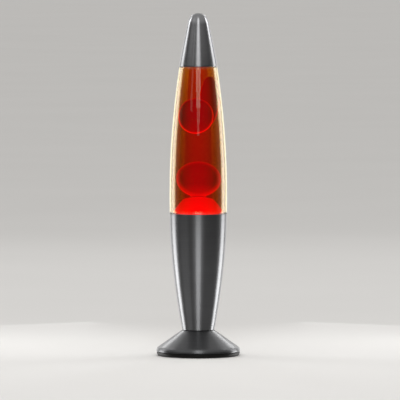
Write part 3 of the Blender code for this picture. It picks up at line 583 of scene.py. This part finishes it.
def growth(name, sizes):
    """A geometry tree with a named input for each size, and a wire from each."""
    tree = bpy.data.node_groups.new(name, "GeometryNodeTree")
    tree.is_modifier = True
    tree.interface.new_socket("Geometry", in_out="OUTPUT", socket_type="NodeSocketGeometry")
    for label, kind in sizes.items():
        tree.interface.new_socket(label, in_out="INPUT", socket_type=f"NodeSocket{kind}")
    form = Finish(name, tree)
    given = tree.nodes.new("NodeGroupInput")
    return form, {label: Wire(form, given.outputs[label]) for label in sizes}


def round_axis(form, angle, radius, height):
    """A point at an angle, a radius and a height about Z."""
    along = {"X": radius * form.maths("COSINE", angle, 0.0), "Y": radius * form.maths("SINE", angle, 0.0)}
    return form.node("ShaderNodeCombineXYZ", inputs={**along, "Z": height})


def ended(form, geometry, finish):
    """Ends a geometry tree with real geometry in its finish."""
    real = form.node("GeometryNodeRealizeInstances", inputs={0: geometry})
    done = form.node("GeometryNodeSetMaterial", inputs={0: real, "Material": finish})
    form.node("NodeGroupOutput", inputs={0: done})
    return form.tree


def spun_cone_tree():
    """Spins the cone's side from its rule: the radius falls with a power of depth."""
    form, given = growth("spun_cone", {
        "Rim Radius": "Float", "Neck Radius": "Float", "Bottom": "Float", "Top": "Float", "Power": "Float",
        "Rows": "Int", "Sides": "Int", "Finish": "Material"})
    sizes = {0: 1.0, 1: 1.0, 2: given["Sides"] + 1.0, 3: given["Rows"]}
    sheet = form.node("GeometryNodeMeshGrid", inputs=sizes)
    place = form.node("GeometryNodeInputPosition")
    angle = (form.along(place, "X") + 0.5) * (2 * math.pi)
    depth = 0.5 - form.along(place, "Y")
    radius = given["Rim Radius"] - (given["Rim Radius"] - given["Neck Radius"]) * depth ** given["Power"]
    height = given["Top"] - depth * (given["Top"] - given["Bottom"])
    values = {0: sheet, "Position": round_axis(form, angle, radius, height)}
    rolled = form.node("GeometryNodeSetPosition", inputs=values)
    closed = form.node("GeometryNodeMergeByDistance", inputs={0: rolled, "Distance": 0.00001})
    return ended(form, closed, given["Finish"])


def grown(name, tree, **sizes):
    """Runs a geometry tree with its named sizes set and gives the result as a bmesh."""
    host = bpy.data.objects.new(name, bpy.data.meshes.new(name))
    bpy.context.scene.collection.objects.link(host)
    grow = host.modifiers.new(name, "NODES")
    grow.node_group = tree
    for item in tree.interface.items_tree:
        key = item.name.replace(" ", "_")
        if item.in_out == "INPUT" and key in sizes:
            grow[item.identifier] = sizes[key]
    plain = bpy.data.meshes.new_from_object(host.evaluated_get(bpy.context.evaluated_depsgraph_get()))
    bm = bmesh.new()
    bm.from_mesh(plain)
    bpy.data.objects.remove(host, do_unlink=True)
    return bm


cone_aluminium = brushed("cone_aluminium", (0.140, 0.141, 0.145), 0.30)
rim_radius, rim_z = cone_high[0], cone_high[2]
neck_z = cone_low[2]
spun_bottom, spun_top = neck_z + 0.6 * MM, rim_z - 0.25 * MM
shell = grown(
    "cone_side", spun_cone_tree(), Rim_Radius=rim_radius, Neck_Radius=neck_radius, Bottom=spun_bottom,
    Top=spun_top, Power=CONE_POWER, Rows=CONE_ROWS, Sides=CONE_SIDES, Finish=cone_aluminium,
)


def cone_radius(height):
    """The cone's outside, by the rule that its side is spun from."""
    return rim_radius - (rim_radius - neck_radius) * ((rim_z - height) / (rim_z - neck_z)) ** CONE_POWER


def carried_on(bm, path, start_height):
    """Extrudes the open edge at a height along further rings of (radius, height)."""
    edges = [e for e in bm.edges if e.is_boundary and abs(e.verts[0].co.z - start_height) < 1e-5]
    for radius, height in path:
        made = bmesh.ops.extrude_edge_only(bm, edges=edges)["geom"]
        edges = [g for g in made if isinstance(g, bmesh.types.BMEdge) and g.is_boundary]
        for vert in {v for e in edges for v in e.verts}:
            flat = Vector((vert.co.x, vert.co.y, 0)).normalized() * radius
            vert.co = (flat.x, flat.y, height)


over_rim = [
    (rim_radius - 0.10 * MM, rim_z - 0.07 * MM),
    (rim_radius - 0.28 * MM, rim_z),
    (rim_radius - SHEET + 0.2 * MM, rim_z),
    (rim_radius - SHEET, rim_z - 0.2 * MM),
]
inner_heights = [rim_z - t / 24 * (rim_z - neck_z - 2 * MM) for t in range(1, 25)]
inner_side = [(cone_radius(z) - SHEET * 1.01, z) for z in inner_heights]
floor_in = [(neck_radius - 1.4 * MM, neck_z + SHEET), (TUBE_HOLE, neck_z + SHEET), (TUBE_HOLE, neck_z)]
floor_out = [
    (neck_radius - 0.05 * MM, neck_z + 0.3 * MM),
    (neck_radius - 0.25 * MM, neck_z + 0.08 * MM),
    (neck_radius - 0.55 * MM, neck_z),
    (TUBE_HOLE, neck_z),
]
carried_on(shell, over_rim + inner_side + floor_in, spun_top)
carried_on(shell, floor_out, spun_bottom)
bmesh.ops.remove_doubles(shell, verts=shell.verts, dist=0.00001)
as_piece("base_cone_spun", shell, cone_aluminium, "base", "base_cone", slot="aluminium")

# Clamping tube, nut and washers -------------------------------------------
# A hollow threaded tube through foot, cone and lampholder, with a hexagon nut and washers.


def drawn_brass(name, tone=(0.74, 0.54, 0.24), rough=0.28):
    """Drawn brass: faint draw lines along the axis and a slight tarnish."""
    skin = Finish(name)
    lines = skin.noise(1.0, 2.0, 0.5, (2400.0, 2400.0, 60.0))
    tarnish = skin.noise(160.0, 4.0, 0.6)
    dull = (tone[0] * 0.62, tone[1] * 0.55, tone[2] * 0.5)
    colour = skin.ramp(tarnish, (0.30, dull), (0.55, tone), (0.8, tuple(min(1.1 * c, 1) for c in tone)))
    sheen = skin.between(tarnish * 0.6 + lines * 0.4, rough + 0.12, rough - 0.06)
    relief = skin.bump(lines, 0.00001, 0.4)
    return skin.done(skin.principled(Base_Color=colour, Metallic=1.0, Roughness=sheen, Normal=relief))


dress(drawn_brass("tube_brass"), "nipple")
dress(
    plated("nut_zinc", (0.60, 0.60, 0.58), 0.33, 500.0),
    "nipple_nut", "nipple_washer_lower", "nipple_washer_upper",
)

# Lampholder ---------------------------------------------------------------
# A small screw lampholder: black thermoset dome and skirt, a glazed porcelain insert with its
# terminal screws, a thin brass thread and a sprung centre contact.


def glazed(name, tone):
    """Glazed porcelain: a clear coat over a cream body with pinholes and pooled glaze."""
    skin = Finish(name)
    body = skin.noise(120.0, 4.0, 0.6)
    pin = skin.node("ShaderNodeTexVoronoi", inputs={"Vector": skin.place(), "Scale": 700.0})
    spots = skin.ramp(pin, (0.03, (0.35, 0.30, 0.24)), (0.09, (1.0, 1.0, 1.0)))
    shade = skin.blend(body, tuple(0.92 * c for c in tone), tone)
    settings = {"data_type": "RGBA", "blend_type": "MULTIPLY"}
    mixed = skin.node("ShaderNodeMix", settings, {0: 0.5, 6: shade, 7: spots}, output=2)
    relief = skin.bump(body, 0.00008, 0.3)
    rough = skin.between(body, 0.12, 0.26)
    return skin.done(skin.principled(Base_Color=mixed, Roughness=rough, Coat_Weight=0.5, Normal=relief))


thermoset = moulded("holder_thermoset", (0.016, 0.014, 0.013), 0.28, 500.0, 0.00001)


def turned_piece(node, points, ease):
    """A turned part of the holder in its CAD node's place, its outline's corners eased."""
    turned = lathed(eased(points, ease, 3), 80)
    as_piece(f"{node}_turned", turned, thermoset, "base", node, slot="black_plastic")


HOLDER_WALL = 1.3 * MM
HOLDER_FLOOR = 1.6 * MM

dome_low, dome_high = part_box("holder_dome")
skirt_low, skirt_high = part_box("holder_skirt")
holder_radius = dome_high[0]
holder_inner = holder_radius - HOLDER_WALL
dome_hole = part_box("nipple")[1][0] + 0.3 * MM
dome = [
    (dome_hole, dome_low[2]),
    (holder_radius - 5.0 * MM, dome_low[2]),
    (holder_radius, dome_low[2] + 3.6 * MM),
    (holder_radius, dome_high[2]),
    (holder_inner, dome_high[2]),
    (holder_inner, dome_low[2] + 4.3 * MM),
    (holder_radius - 5.3 * MM, dome_low[2] + HOLDER_FLOOR),
    (dome_hole, dome_low[2] + HOLDER_FLOOR),
]
turned_piece("holder_dome", dome, 0.8 * MM)
sleeve_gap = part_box("holder_sleeve")[1][0] + 0.3 * MM
skirt = [
    (holder_inner, dome_high[2] + 0.3 * MM),
    (holder_radius, dome_high[2] + 0.3 * MM),
    (holder_radius, skirt_high[2] - 10.0 * MM),
    (holder_radius - 1.6 * MM, skirt_high[2]),
    (sleeve_gap, skirt_high[2]),
    (sleeve_gap, skirt_low[2]),
    (holder_inner, skirt_low[2]),
]
turned_piece("holder_skirt", skirt, 0.5 * MM)
dress(glazed("holder_porcelain", (0.86, 0.84, 0.78)), "holder_insert")
dress(
    drawn_brass("contact_brass", (0.76, 0.57, 0.27), 0.24),
    "holder_sleeve", "centre_contact", "holder_screw_live", "holder_screw_neutral", "block_screw_1",
    "block_screw_2", "block_screw_3", "block_screw_4",
)

# Mains wiring -------------------------------------------------------------
# A nylon terminal block on the bottom plate, and brown and blue leads up to the lampholder.

dress(moulded("block_nylon", (0.70, 0.69, 0.64), 0.45, 600.0, 0.00002), "terminal_block")
dress(moulded("live_insulation", (0.14, 0.05, 0.02), 0.40, 1200.0, 0.00001), "live_lead")
dress(moulded("neutral_insulation", (0.02, 0.07, 0.30), 0.40, 1200.0, 0.00001), "neutral_lead")

# Bulb ---------------------------------------------------------------------
# A small reflector bulb: a blown envelope silvered inside up to its widest ring and frosted on its
# front, in a rolled brass screw cap with a black glass insulator and a soldered tip.

BULB_NECK = 5.3 * MM
BULB_WALL = 0.7 * MM
BELLY_DEPTH = 14.0 * MM  # of the widest ring below the front

bulb_low, bulb_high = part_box("bulb_envelope")
bulb_radius, bulb_front = bulb_high[0], bulb_high[2]
belly_z = bulb_front - BELLY_DEPTH
collar_z = bulb_low[2] + 4.0 * MM
bulb_path = [
    (BULB_NECK, bulb_low[2]),
    (BULB_NECK, collar_z + 0.3 * MM),
    *curved(
        (BULB_NECK + 2.6 * MM, collar_z + 1.8 * MM),
        (BULB_NECK + 4.5 * MM, collar_z + 14.0 * MM),
        (bulb_radius, belly_z - 16.0 * MM),
        (bulb_radius, belly_z),
        26,
    ),
    *curved(
        (bulb_radius - 0.05 * MM, belly_z + 1.2 * MM),
        (bulb_radius - 0.6 * MM, bulb_front - 4.0 * MM),
        (bulb_radius * 0.62, bulb_front),
        (0, bulb_front),
        22,
    ),
]
envelope = Finish("bulb_glass")
up = envelope.along(envelope.place(), "Z")
front_share = envelope.ramp(up * 10.0, ((belly_z + 0.2 * MM) * 10.0, (0, 0, 0)),
                            ((belly_z + 1.4 * MM) * 10.0, (1, 1, 1)))
frost = envelope.noise(900.0, 2.0)
share = envelope.node("ShaderNodeRGBToBW", inputs={"Color": front_share})
colour = envelope.blend(share, (0.82, 0.81, 0.79), (0.92, 0.89, 0.82))
sheen = share * 0.30 + 0.08 + frost * 0.05
metal = 1.0 - share
relief = envelope.bump(frost, 0.00002, 0.4)
lit = envelope.blend(share, (0.0, 0.0, 0.0), (1.0, 0.62, 0.28))
bulb_skin = envelope.done(envelope.principled(
    Base_Color=colour, Metallic=metal, Roughness=sheen, Normal=relief, Coat_Weight=0.3, Emission_Color=lit,
    Emission_Strength=0.8))
as_piece(
    "bulb_envelope_blown", lathed(walled(bulb_path, BULB_WALL), 96), bulb_skin, "bulb_glass",
    "bulb_envelope", slot="frosted_glass",
)

cap_low, cap_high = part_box("bulb_screw_cap")
PITCH = 2.822 * MM
THREAD_MEAN = 6.6 * MM
THREAD_DEPTH = 0.345 * MM
THREAD_ROWS = 110
COLLAR = 7.2 * MM
CAP_BORE = 5.7 * MM
thread_top = cap_high[2] - 2.6 * MM
thread_step = (thread_top - cap_low[2]) / THREAD_ROWS
screw_loop = [
    *[(THREAD_MEAN, cap_low[2] + thread_step * row) for row in range(THREAD_ROWS + 1)],
    (COLLAR, thread_top + 0.6 * MM),
    (COLLAR + 0.05 * MM, thread_top + 1.2 * MM),
    (COLLAR, cap_high[2] - 0.2 * MM),
    (COLLAR - 0.2 * MM, cap_high[2]),
    (CAP_BORE + 0.2 * MM, cap_high[2]),
    (CAP_BORE, cap_high[2] - 0.2 * MM),
    (CAP_BORE, cap_low[2]),
]


def screw_form(angle, radius, height):
    """The rolled thread, rounded in section, on the part of the cap that has one."""
    if abs(radius - THREAD_MEAN) > 1e-7:
        return 0.0
    return THREAD_DEPTH * math.cos(2 * math.pi * height / PITCH - angle)


cap_brass = drawn_brass("cap_brass", (0.80, 0.62, 0.32), 0.2)
as_piece(
    "bulb_screw_cap_rolled", lathed(screw_loop, 72, screw_form), cap_brass, "bulb_cap", "bulb_screw_cap",
    slot="brass",
)
dress(moulded("black_vitrite", (0.008, 0.008, 0.010), 0.12, 300.0, 0.00001), "bulb_insulator")
dress(
    plated("tip_solder", (0.62, 0.62, 0.62), 0.30, 1500.0),
    "bulb_tip_contact", "bulb_lead_1", "bulb_lead_2", "bulb_filament",
)

# Bottle -------------------------------------------------------------------
# Thick blown glass, ground flush with the metal above and below. Its lower end drops into the base
# cone on a ledge, its neck rises inside the cap to a crown finish.

glass_low, glass_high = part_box("globe_glass")
crown_low, crown_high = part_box("crown_cap")
lid_low, lid_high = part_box("cap_shell")
body_radius = glass_high[0]
GLASS_WALL = 1.8 * MM
GLASS_FLOOR = 3.0 * MM
WIDEST_RISE = 23.2 * MM
GLASS_POWER = 1.9
shoulder_z = lid_low[2] - 0.3 * MM
shoulder_radius = lid_high[0]
ledge_z = rim_z + 0.3 * MM
seat_radius = cone_radius(glass_low[2]) - SHEET - 0.4 * MM
plug_radius = shoulder_radius - SHEET - 0.4 * MM
FINISH_RADIUS = 13.3 * MM
NECK_BORE = 8.0 * MM
neck_outside = FINISH_RADIUS - 0.7 * MM
finish_top = glass_high[2]


def glass_radius(height):
    """The bottle's outside between the two metal rims."""
    rise = max(height - rim_z - WIDEST_RISE, 0) / (shoulder_z - rim_z - WIDEST_RISE)
    return body_radius - (body_radius - shoulder_radius) * rise**GLASS_POWER


def heights(low, high, count):
    """Evenly spaced heights, both ends among them."""
    return [low + (high - low) * i / (count - 1) for i in range(count)]


glass_outside = [
    (0, glass_low[2]),
    (seat_radius - 4.0 * MM, glass_low[2]),
    (seat_radius - 1.2 * MM, glass_low[2] + 1.0 * MM),
    (seat_radius, glass_low[2] + 4.0 * MM),
    (seat_radius, ledge_z),
    *[(glass_radius(z), z) for z in heights(ledge_z, shoulder_z, 72)],
    (plug_radius, shoulder_z),
    *curved(
        (plug_radius, shoulder_z + 1.8 * MM),
        (plug_radius, shoulder_z + 5.0 * MM),
        (neck_outside, shoulder_z + 4.6 * MM),
        (neck_outside, shoulder_z + 6.8 * MM),
        12,
    ),
    (neck_outside, finish_top - 4.8 * MM),
    (FINISH_RADIUS, finish_top - 4.2 * MM),
    (FINISH_RADIUS, finish_top - 0.8 * MM),
    (FINISH_RADIUS - 0.8 * MM, finish_top),
]
seat_bore = seat_radius - GLASS_WALL
glass_inside = [
    (NECK_BORE, finish_top),
    (NECK_BORE, shoulder_z + 6.4 * MM),
    (plug_radius - GLASS_WALL - 1.6 * MM, shoulder_z + 2.6 * MM),
    *[(glass_radius(z) - GLASS_WALL, z) for z in heights(shoulder_z - 1.0 * MM, ledge_z + 1.0 * MM, 60)],
    (seat_bore, ledge_z - 2.0 * MM),
    (seat_bore, glass_low[2] + GLASS_FLOOR + 2.0 * MM),
    (seat_bore - 2.0 * MM, glass_low[2] + GLASS_FLOOR),
    (0, glass_low[2] + GLASS_FLOOR),
]


def see_through(finish, shader, tint):
    """Glass that lets the studio's lamps through to what is inside."""
    straight = finish.node("ShaderNodeLightPath", output="Is Shadow Ray")
    clear = finish.node("ShaderNodeBsdfTransparent", inputs={"Color": tint})
    return finish.node("ShaderNodeMixShader", inputs={0: straight, 1: shader, 2: clear})


crystal = Finish("bottle_glass")
waves = crystal.noise(26.0, 2.0, 0.4, (1.0, 1.0, 0.35))
seeds = crystal.noise(420.0, 2.0, 0.5)
film = crystal.noise(18.0, 5.0, 0.6)
relief = crystal.bump(waves, 0.00003, 0.06)
bottle_shader = crystal.principled(
    Base_Color=crystal.blend(film, (0.86, 0.75, 0.46), (0.84, 0.72, 0.42)),
    Roughness=crystal.between(seeds, 0.0, 0.012), IOR=1.5, Transmission_Weight=1.0, Normal=relief)
bottle_glass = crystal.done(see_through(crystal, bottle_shader, (0.95, 0.90, 0.80)))
bottle = lathed(eased(glass_outside + glass_inside, 0.5 * MM, 3), 160)
as_piece("bottle", bottle, bottle_glass, "globe", "globe_glass", slot="clear_glass")

# Wax ----------------------------------------------------------------------
# Red paraffin wax, molten and lit from below: a mound that covers the heating coil, a blob just parting from
# it, and two more higher up, soft and glossy.
# Their glow is painted into the emission colour, brightest low down and at the rims.

pool_low, pool_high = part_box("wax_pool")
blob_low, blob_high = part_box("wax_blob_lower")
GROOVE_REACH = 9.0 * MM  # of the hollow over the heating coil
GROOVE_HEIGHT = 4.4 * MM
groove_top = pool_low[2] + GROOVE_HEIGHT
glass_length = shoulder_z - rim_z
mound_neck = 0.415 * (glass_radius(rim_z) - GLASS_WALL)
crest = pool_high[2]
mound_top = (mound_neck, crest - 2.2 * MM)


def wax(name, low, high, painted_core_glow, painted_rim_glow, body):
    """Red wax in liquid: dark and clear in its middle, with a painted glow in its emission colour at its
    rims and towards its bottom, near the lamp.
    """
    skin = Finish(name)
    z = skin.along(skin.place(), "Z")
    swirl = skin.noise(55.0, 3.0, 0.5, (1.0, 1.0, 0.6))
    rise = skin.between((z - low) * (1.0 / (high - low)) + (swirl - 0.5) * 0.3, 0.0, 1.0)
    # Painted rim highlight: a mask from how far the surface turns from the eye, which also makes the rims
    # opaque.
    painted_rim_share = skin.between((skin.facing() - 0.26 - rise * 0.14) * 2.2, 0.0, 1.0)
    # Painted glow in the emission colour: bright low down, dark above, and bright again at the rims.
    middle = skin.blend(skin.between(rise * 2.5, 0.0, 1.0), *painted_core_glow)
    glow = skin.blend(painted_rim_share, middle, skin.blend(rise, *painted_rim_glow))
    relief = skin.bump(swirl, 0.0004, 0.25)
    return skin.done(skin.principled(
        Base_Color=skin.blend(swirl, (0.15, 0.0, 0.004), (0.21, 0.0, 0.006)),
        Roughness=skin.between(swirl, 0.1, 0.2), Normal=relief, Specular_IOR_Level=0.08,
        Alpha=skin.between(painted_rim_share, body, 1.0), Emission_Color=glow, Emission_Strength=1.0))


pool_wall = seat_bore - 0.3 * MM
pool_loop = [
    (0, pool_low[2]),
    (pool_wall - GROOVE_REACH, pool_low[2]),
    (pool_wall - GROOVE_REACH, groove_top),
    (pool_wall - 1.0 * MM, groove_top),
    (pool_wall - 0.5 * MM, pool_low[2]),
    (pool_wall, pool_low[2] + 2.0 * MM),
    *curved(
        (pool_wall, rim_z - 7.0 * MM),
        (0.92 * pool_wall, rim_z - 6.0 * MM),
        (0.84 * pool_wall, rim_z - 3.0 * MM),
        (0.78 * pool_wall, rim_z - 0.3 * MM),
        12,
    ),
    *curved(
        (0.765 * pool_wall, rim_z + 0.4 * MM),
        (0.68 * pool_wall, rim_z + 4.0 * MM),
        (mound_neck + 3.6 * MM, rim_z + 0.56 * (crest - rim_z)),
        mound_top,
        18,
    ),
    *list(curved(
        mound_top,
        (mound_neck - 1.6 * MM, crest - 0.9 * MM),
        (mound_neck - 4.0 * MM, crest - 0.1 * MM),
        (3.0 * MM, crest),
        10,
    ))[1:],
    (0, crest),
]
# Painted glow of the mound: a bright red emission all over, which also lights the blobs above like a lamp.
pool_painted_core_glow = ((1.75, 0.0, 0.001), (1.6, 0.0, 0.001))
pool_painted_rim_glow = ((1.8, 0.0, 0.001), (1.7, 0.0, 0.001))
pool_red = wax("pool_wax", rim_z, crest, pool_painted_core_glow, pool_painted_rim_glow, 1.0)
as_piece("wax_mound", lathed(pool_loop, 96), pool_red, "globe", "wax_pool", slot="red_wax", crease=60)

BALL_START = -1.2  # the angle where the parting blob's ball gives way to its foot
BLOB_FOOT = 6.2 * MM
LEAN = -0.05
SWAY = 0.8 * MM
SAG_REACH = 20.0 * MM
blob_middle = rim_z + 0.2335 * glass_length
blob_width = blob_high[0]
blob_long = blob_high[2] - blob_middle
foot_z = blob_low[2]
arc = [BALL_START + (math.pi / 2 - BALL_START) * step / 40 for step in range(41)]
ball = [(blob_width * math.cos(a), blob_middle + blob_long * math.sin(a)) for a in arc]
lower_loop = [
    (0, foot_z),
    (BLOB_FOOT - 1.0 * MM, foot_z),
    *curved(
        (BLOB_FOOT, foot_z + 0.1 * MM),
        (BLOB_FOOT - 0.6 * MM, foot_z + 0.5 * MM),
        (ball[0][0] - 0.4 * MM, ball[0][1] - 0.3 * MM),
        ball[0],
        6,
    ),
    *ball[1:-1],
    (0, blob_high[2]),
]


def slumped(bm):
    """Gives the parting blob the lopsided sag of soft wax, within its own outline."""
    for vert in bm.verts:
        turn = math.atan2(vert.co.y, vert.co.x)
        share = max(0.0, 1 - abs(vert.co.z - blob_middle) / SAG_REACH)
        pull = SWAY * share * (math.sin(2 * turn + 0.6) - 1.0)
        flat = Vector((vert.co.x, vert.co.y, 0))
        if flat.length > 1e-6:
            vert.co += flat.normalized() * pull
        vert.co.z += LEAN * vert.co.x * share
    return bm


# Painted glow of the parting blob: bright red at its foot, dark at its top, bright at its rims.
lower_painted_core_glow = ((1.0, 0.0, 0.001), (0.13, 0.0, 0.006))
lower_painted_rim_glow = ((2.0, 0.0, 0.003), (0.9, 0.0, 0.003))
lower_red = wax("lower_wax", foot_z, blob_high[2], lower_painted_core_glow, lower_painted_rim_glow, 0.86)
as_piece(
    "wax_lower", slumped(lathed(lower_loop, 96)), lower_red, "wax_lower", "wax_blob_lower",
    slot="red_wax", crease=60,
)

SWELL = 0.012


def soft_blob(node, seed):
    """A blob of wax in its node's box: a fine ball pulled slightly out of round by slow waves."""
    low, high = (Vector(corner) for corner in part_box(node))
    middle, half = (low + high) / 2, (high - low) / 2
    bm = bmesh.new()
    bmesh.ops.create_icosphere(bm, subdivisions=5, radius=1.0)
    for vert in bm.verts:
        way = vert.co.normalized()
        wave = math.sin(2.1 * way.x + seed) * math.sin(1.7 * way.z + 2 * seed) * math.cos(1.3 * way.y)
        vert.co = middle + Vector(a * b for a, b in zip(way, half)) * (1 - SWELL + SWELL * wave)
    return bm


# Painted glow of the upper blobs: bright red rims and a darker red middle that fades upward.
high_painted_rim_glow = ((2.8, 0.0, 0.006), (0.8, 0.0, 0.004))
front_low, front_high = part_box("wax_blob_front")
front_painted_core_glow = ((0.24, 0.0, 0.008), (0.02, 0.0, 0.018))
front_red = wax("front_wax", front_low[2], front_high[2], front_painted_core_glow, high_painted_rim_glow, 0.86)
as_piece(
    "wax_front", soft_blob("wax_blob_front", 0.7), front_red, "wax_front", "wax_blob_front",
    slot="red_wax", crease=60,
)
back_low, back_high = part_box("wax_blob_back")
back_painted_core_glow = ((0.40, 0.0, 0.006), (0.18, 0.0, 0.016))
back_red = wax("back_wax", back_low[2], back_high[2], back_painted_core_glow, high_painted_rim_glow, 0.96)
as_piece(
    "wax_back", soft_blob("wax_blob_back", 2.1), back_red, "wax_back", "wax_blob_back",
    slot="red_wax", crease=60,
)

# Liquid -------------------------------------------------------------------
# Clear amber water-based liquid up into the bottle's neck, with a skin of air between it and the
# glass that is too thin to see but keeps the two clear of each other.

FILM = 0.12 * MM
liquid_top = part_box("liquid")[1][2]
liquid_bottom = pool_low[2] - 0.1 * MM
liquid_neck = plug_radius - GLASS_WALL
liquid_levels = heights(ledge_z + 1.0 * MM, shoulder_z - 1.0 * MM, 64)
liquid_loop = [
    (0, liquid_bottom),
    (seat_bore - 2.2 * MM, liquid_bottom),
    (seat_bore - FILM, pool_low[2] + 2.0 * MM),
    (seat_bore - FILM, ledge_z - 2.0 * MM),
    *[(glass_radius(z) - GLASS_WALL - FILM, z) for z in liquid_levels],
    (liquid_neck - 1.0 * MM, shoulder_z + 1.2 * MM),
    (liquid_neck - 2.2 * MM, liquid_top - 0.4 * MM),
    (liquid_neck - 2.9 * MM, liquid_top),
    (0, liquid_top),
]
amber = Finish("amber_liquid")
haze = amber.noise(30.0, 3.0, 0.5, (1.0, 1.0, 0.5))
# Painted glow: the liquid's emission is a red glow, strongest where the surface faces the eye and faint at
# its sides, standing in for the wax's light deep in the liquid.
depth = amber.between(amber.facing() * 4.0, 0.0, 1.0)
amber_shader = amber.principled(
    Base_Color=amber.blend(haze, (1.0, 0.98, 0.95), (1.0, 0.96, 0.92)),
    Roughness=amber.between(haze, 0.0, 0.02), IOR=1.36, Transmission_Weight=1.0,
    Emission_Color=amber.blend(depth, (0.310, 0.0, 0.0), (0.07, 0.008, 0.0)), Emission_Strength=1.0)
tinted = amber.node("ShaderNodeVolumeAbsorption", inputs={"Color": (0.71, 0.50, 0.02), "Density": 152.0})
amber_liquid = amber.done(see_through(amber, amber_shader, (0.90, 0.55, 0.25)), tinted)
as_piece(
    "amber_filling", lathed(liquid_loop, 128), amber_liquid, "globe", "liquid", slot="amber_liquid",
    crease=60,
)

# Heating coil -------------------------------------------------------------
# A ring of close-wound steel wire on the bottle's floor that gathers the wax. Its turns follow a
# path round the bottle.

coil_low, coil_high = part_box("heat_coil")
COIL_TURNS = 84
coil_radius = (coil_high[2] - coil_low[2]) / 2
coil_circle = coil_high[0] - coil_radius
WIRE = 0.32 * MM


def wound_coil_tree():
    """Winds a wire round a ring, twelve points to each turn."""
    form, given = growth("wound_coil", {
        "Ring Radius": "Float", "Winding Radius": "Float", "Wire Radius": "Float", "Height": "Float",
        "Turns": "Int", "Finish": "Material"})
    count = given["Turns"] * 12.0
    ring = form.node("GeometryNodeCurvePrimitiveCircle", {"mode": "RADIUS"}, {"Resolution": count})
    turn = form.maths("DIVIDE", form.node("GeometryNodeInputIndex") * (2 * math.pi), count)
    wind = turn * given["Turns"]
    reach = given["Ring Radius"] + given["Winding Radius"] * form.maths("COSINE", wind, 0.0)
    height = given["Height"] + given["Winding Radius"] * form.maths("SINE", wind, 0.0)
    values = {0: ring, "Position": round_axis(form, turn, reach, height)}
    path = form.node("GeometryNodeSetPosition", inputs=values)
    section = form.node("GeometryNodeCurvePrimitiveCircle", {"mode": "RADIUS"},
                        {"Resolution": 7, "Radius": given["Wire Radius"]})
    wire = form.node("GeometryNodeCurveToMesh", inputs={"Curve": path, "Profile Curve": section})
    return ended(form, wire, given["Finish"])


coil_steel = plated("coil_steel", (0.60, 0.60, 0.60), 0.26, 1500.0)
spring = grown(
    "coil", wound_coil_tree(), Ring_Radius=coil_circle, Winding_Radius=coil_radius - WIRE, Wire_Radius=WIRE,
    Height=coil_low[2] + coil_radius, Turns=COIL_TURNS, Finish=coil_steel,
)
as_piece("heat_coil_wound", spring, coil_steel, "globe", "heat_coil", slot="steel", crease=60)

# Crown cap and liner ------------------------------------------------------
# A tin-plated crown cork pressed over the bottle's lip, its skirt crimped into flutes, with a white
# polymer liner under it.

FLUTES = 21
SHEET_TIN = 0.35 * MM
FLUTE_DEPTH = 0.3 * MM
FLUTE_START = 1.8 * MM  # below the crown's top
crown_top = crown_high[2]
crown_skirt = crown_top - crown_low[2]
flare = FINISH_RADIUS + SHEET_TIN + FLUTE_DEPTH + 0.3 * MM
crown_path = [
    (flare + 0.35 * MM, crown_low[2]),
    *curved(
        (flare + 0.15 * MM, crown_low[2] + 1.0 * MM),
        (flare - 0.05 * MM, crown_low[2] + 2.5 * MM),
        (flare - 0.1 * MM, crown_top - 0.3 * MM),
        (FINISH_RADIUS - 1.6 * MM, crown_top - 0.02 * MM),
        16,
    ),
    (FINISH_RADIUS - 3.0 * MM, crown_top),
    (0, crown_top),
]


def crimped(angle, _, height):
    """How far the flutes stand out, growing down the skirt."""
    share = min(max((crown_top - FLUTE_START - height) / (crown_skirt - FLUTE_START), 0), 1)
    return FLUTE_DEPTH * share * math.cos(FLUTES * angle)


crown = lathed(walled(crown_path, SHEET_TIN), FLUTES * 12, crimped)
crown_tin = plated("crown_tin", (0.70, 0.66, 0.56), 0.26, 700.0)
as_piece("crown_cap_crimped", crown, crown_tin, "globe", "crown_cap", slot="crown_steel")
dress(moulded("liner_polymer", (0.74, 0.74, 0.72), 0.5, 400.0, 0.00002), "crown_liner")
dress(crystal.material, "bulb_stem")

# Cap ----------------------------------------------------------------------
# The spun cap that drops over the bottle's neck: nearly straight sides up to a rounded tip, brushed
# on the lathe like the base and a shade lighter.

SIDE_SHARE = 0.78  # of the cap's height, before its tip rounds over
CAP_TAPER = 0.428
CAP_POWER = 1.08

side_top = lid_low[2] + SIDE_SHARE * (lid_high[2] - lid_low[2])


def cap_radius(height):
    """The cap's outside below its tip."""
    rise = (height - lid_low[2]) / (side_top - lid_low[2])
    return shoulder_radius * (1 - CAP_TAPER * rise**CAP_POWER)


cap_side = [(cap_radius(z), z) for z in heights(lid_low[2], side_top, 40)]
tip_base = cap_radius(side_top)
cap_tip = list(curved(
    cap_side[-1],
    (tip_base * 0.85, side_top + 8.0 * MM),
    (tip_base * 0.58, lid_high[2]),
    (0, lid_high[2]),
    32,
))
cap_loop = eased(walled([*cap_side, *cap_tip[1:]], SHEET), 0.2 * MM, 3)
cap_aluminium = brushed("cap_aluminium", (0.215, 0.216, 0.222), 0.25)
as_piece(
    "cap_spun", lathed(cap_loop, LATHE_SIDES), cap_aluminium, "cap", "cap_shell", slot="aluminium",
)
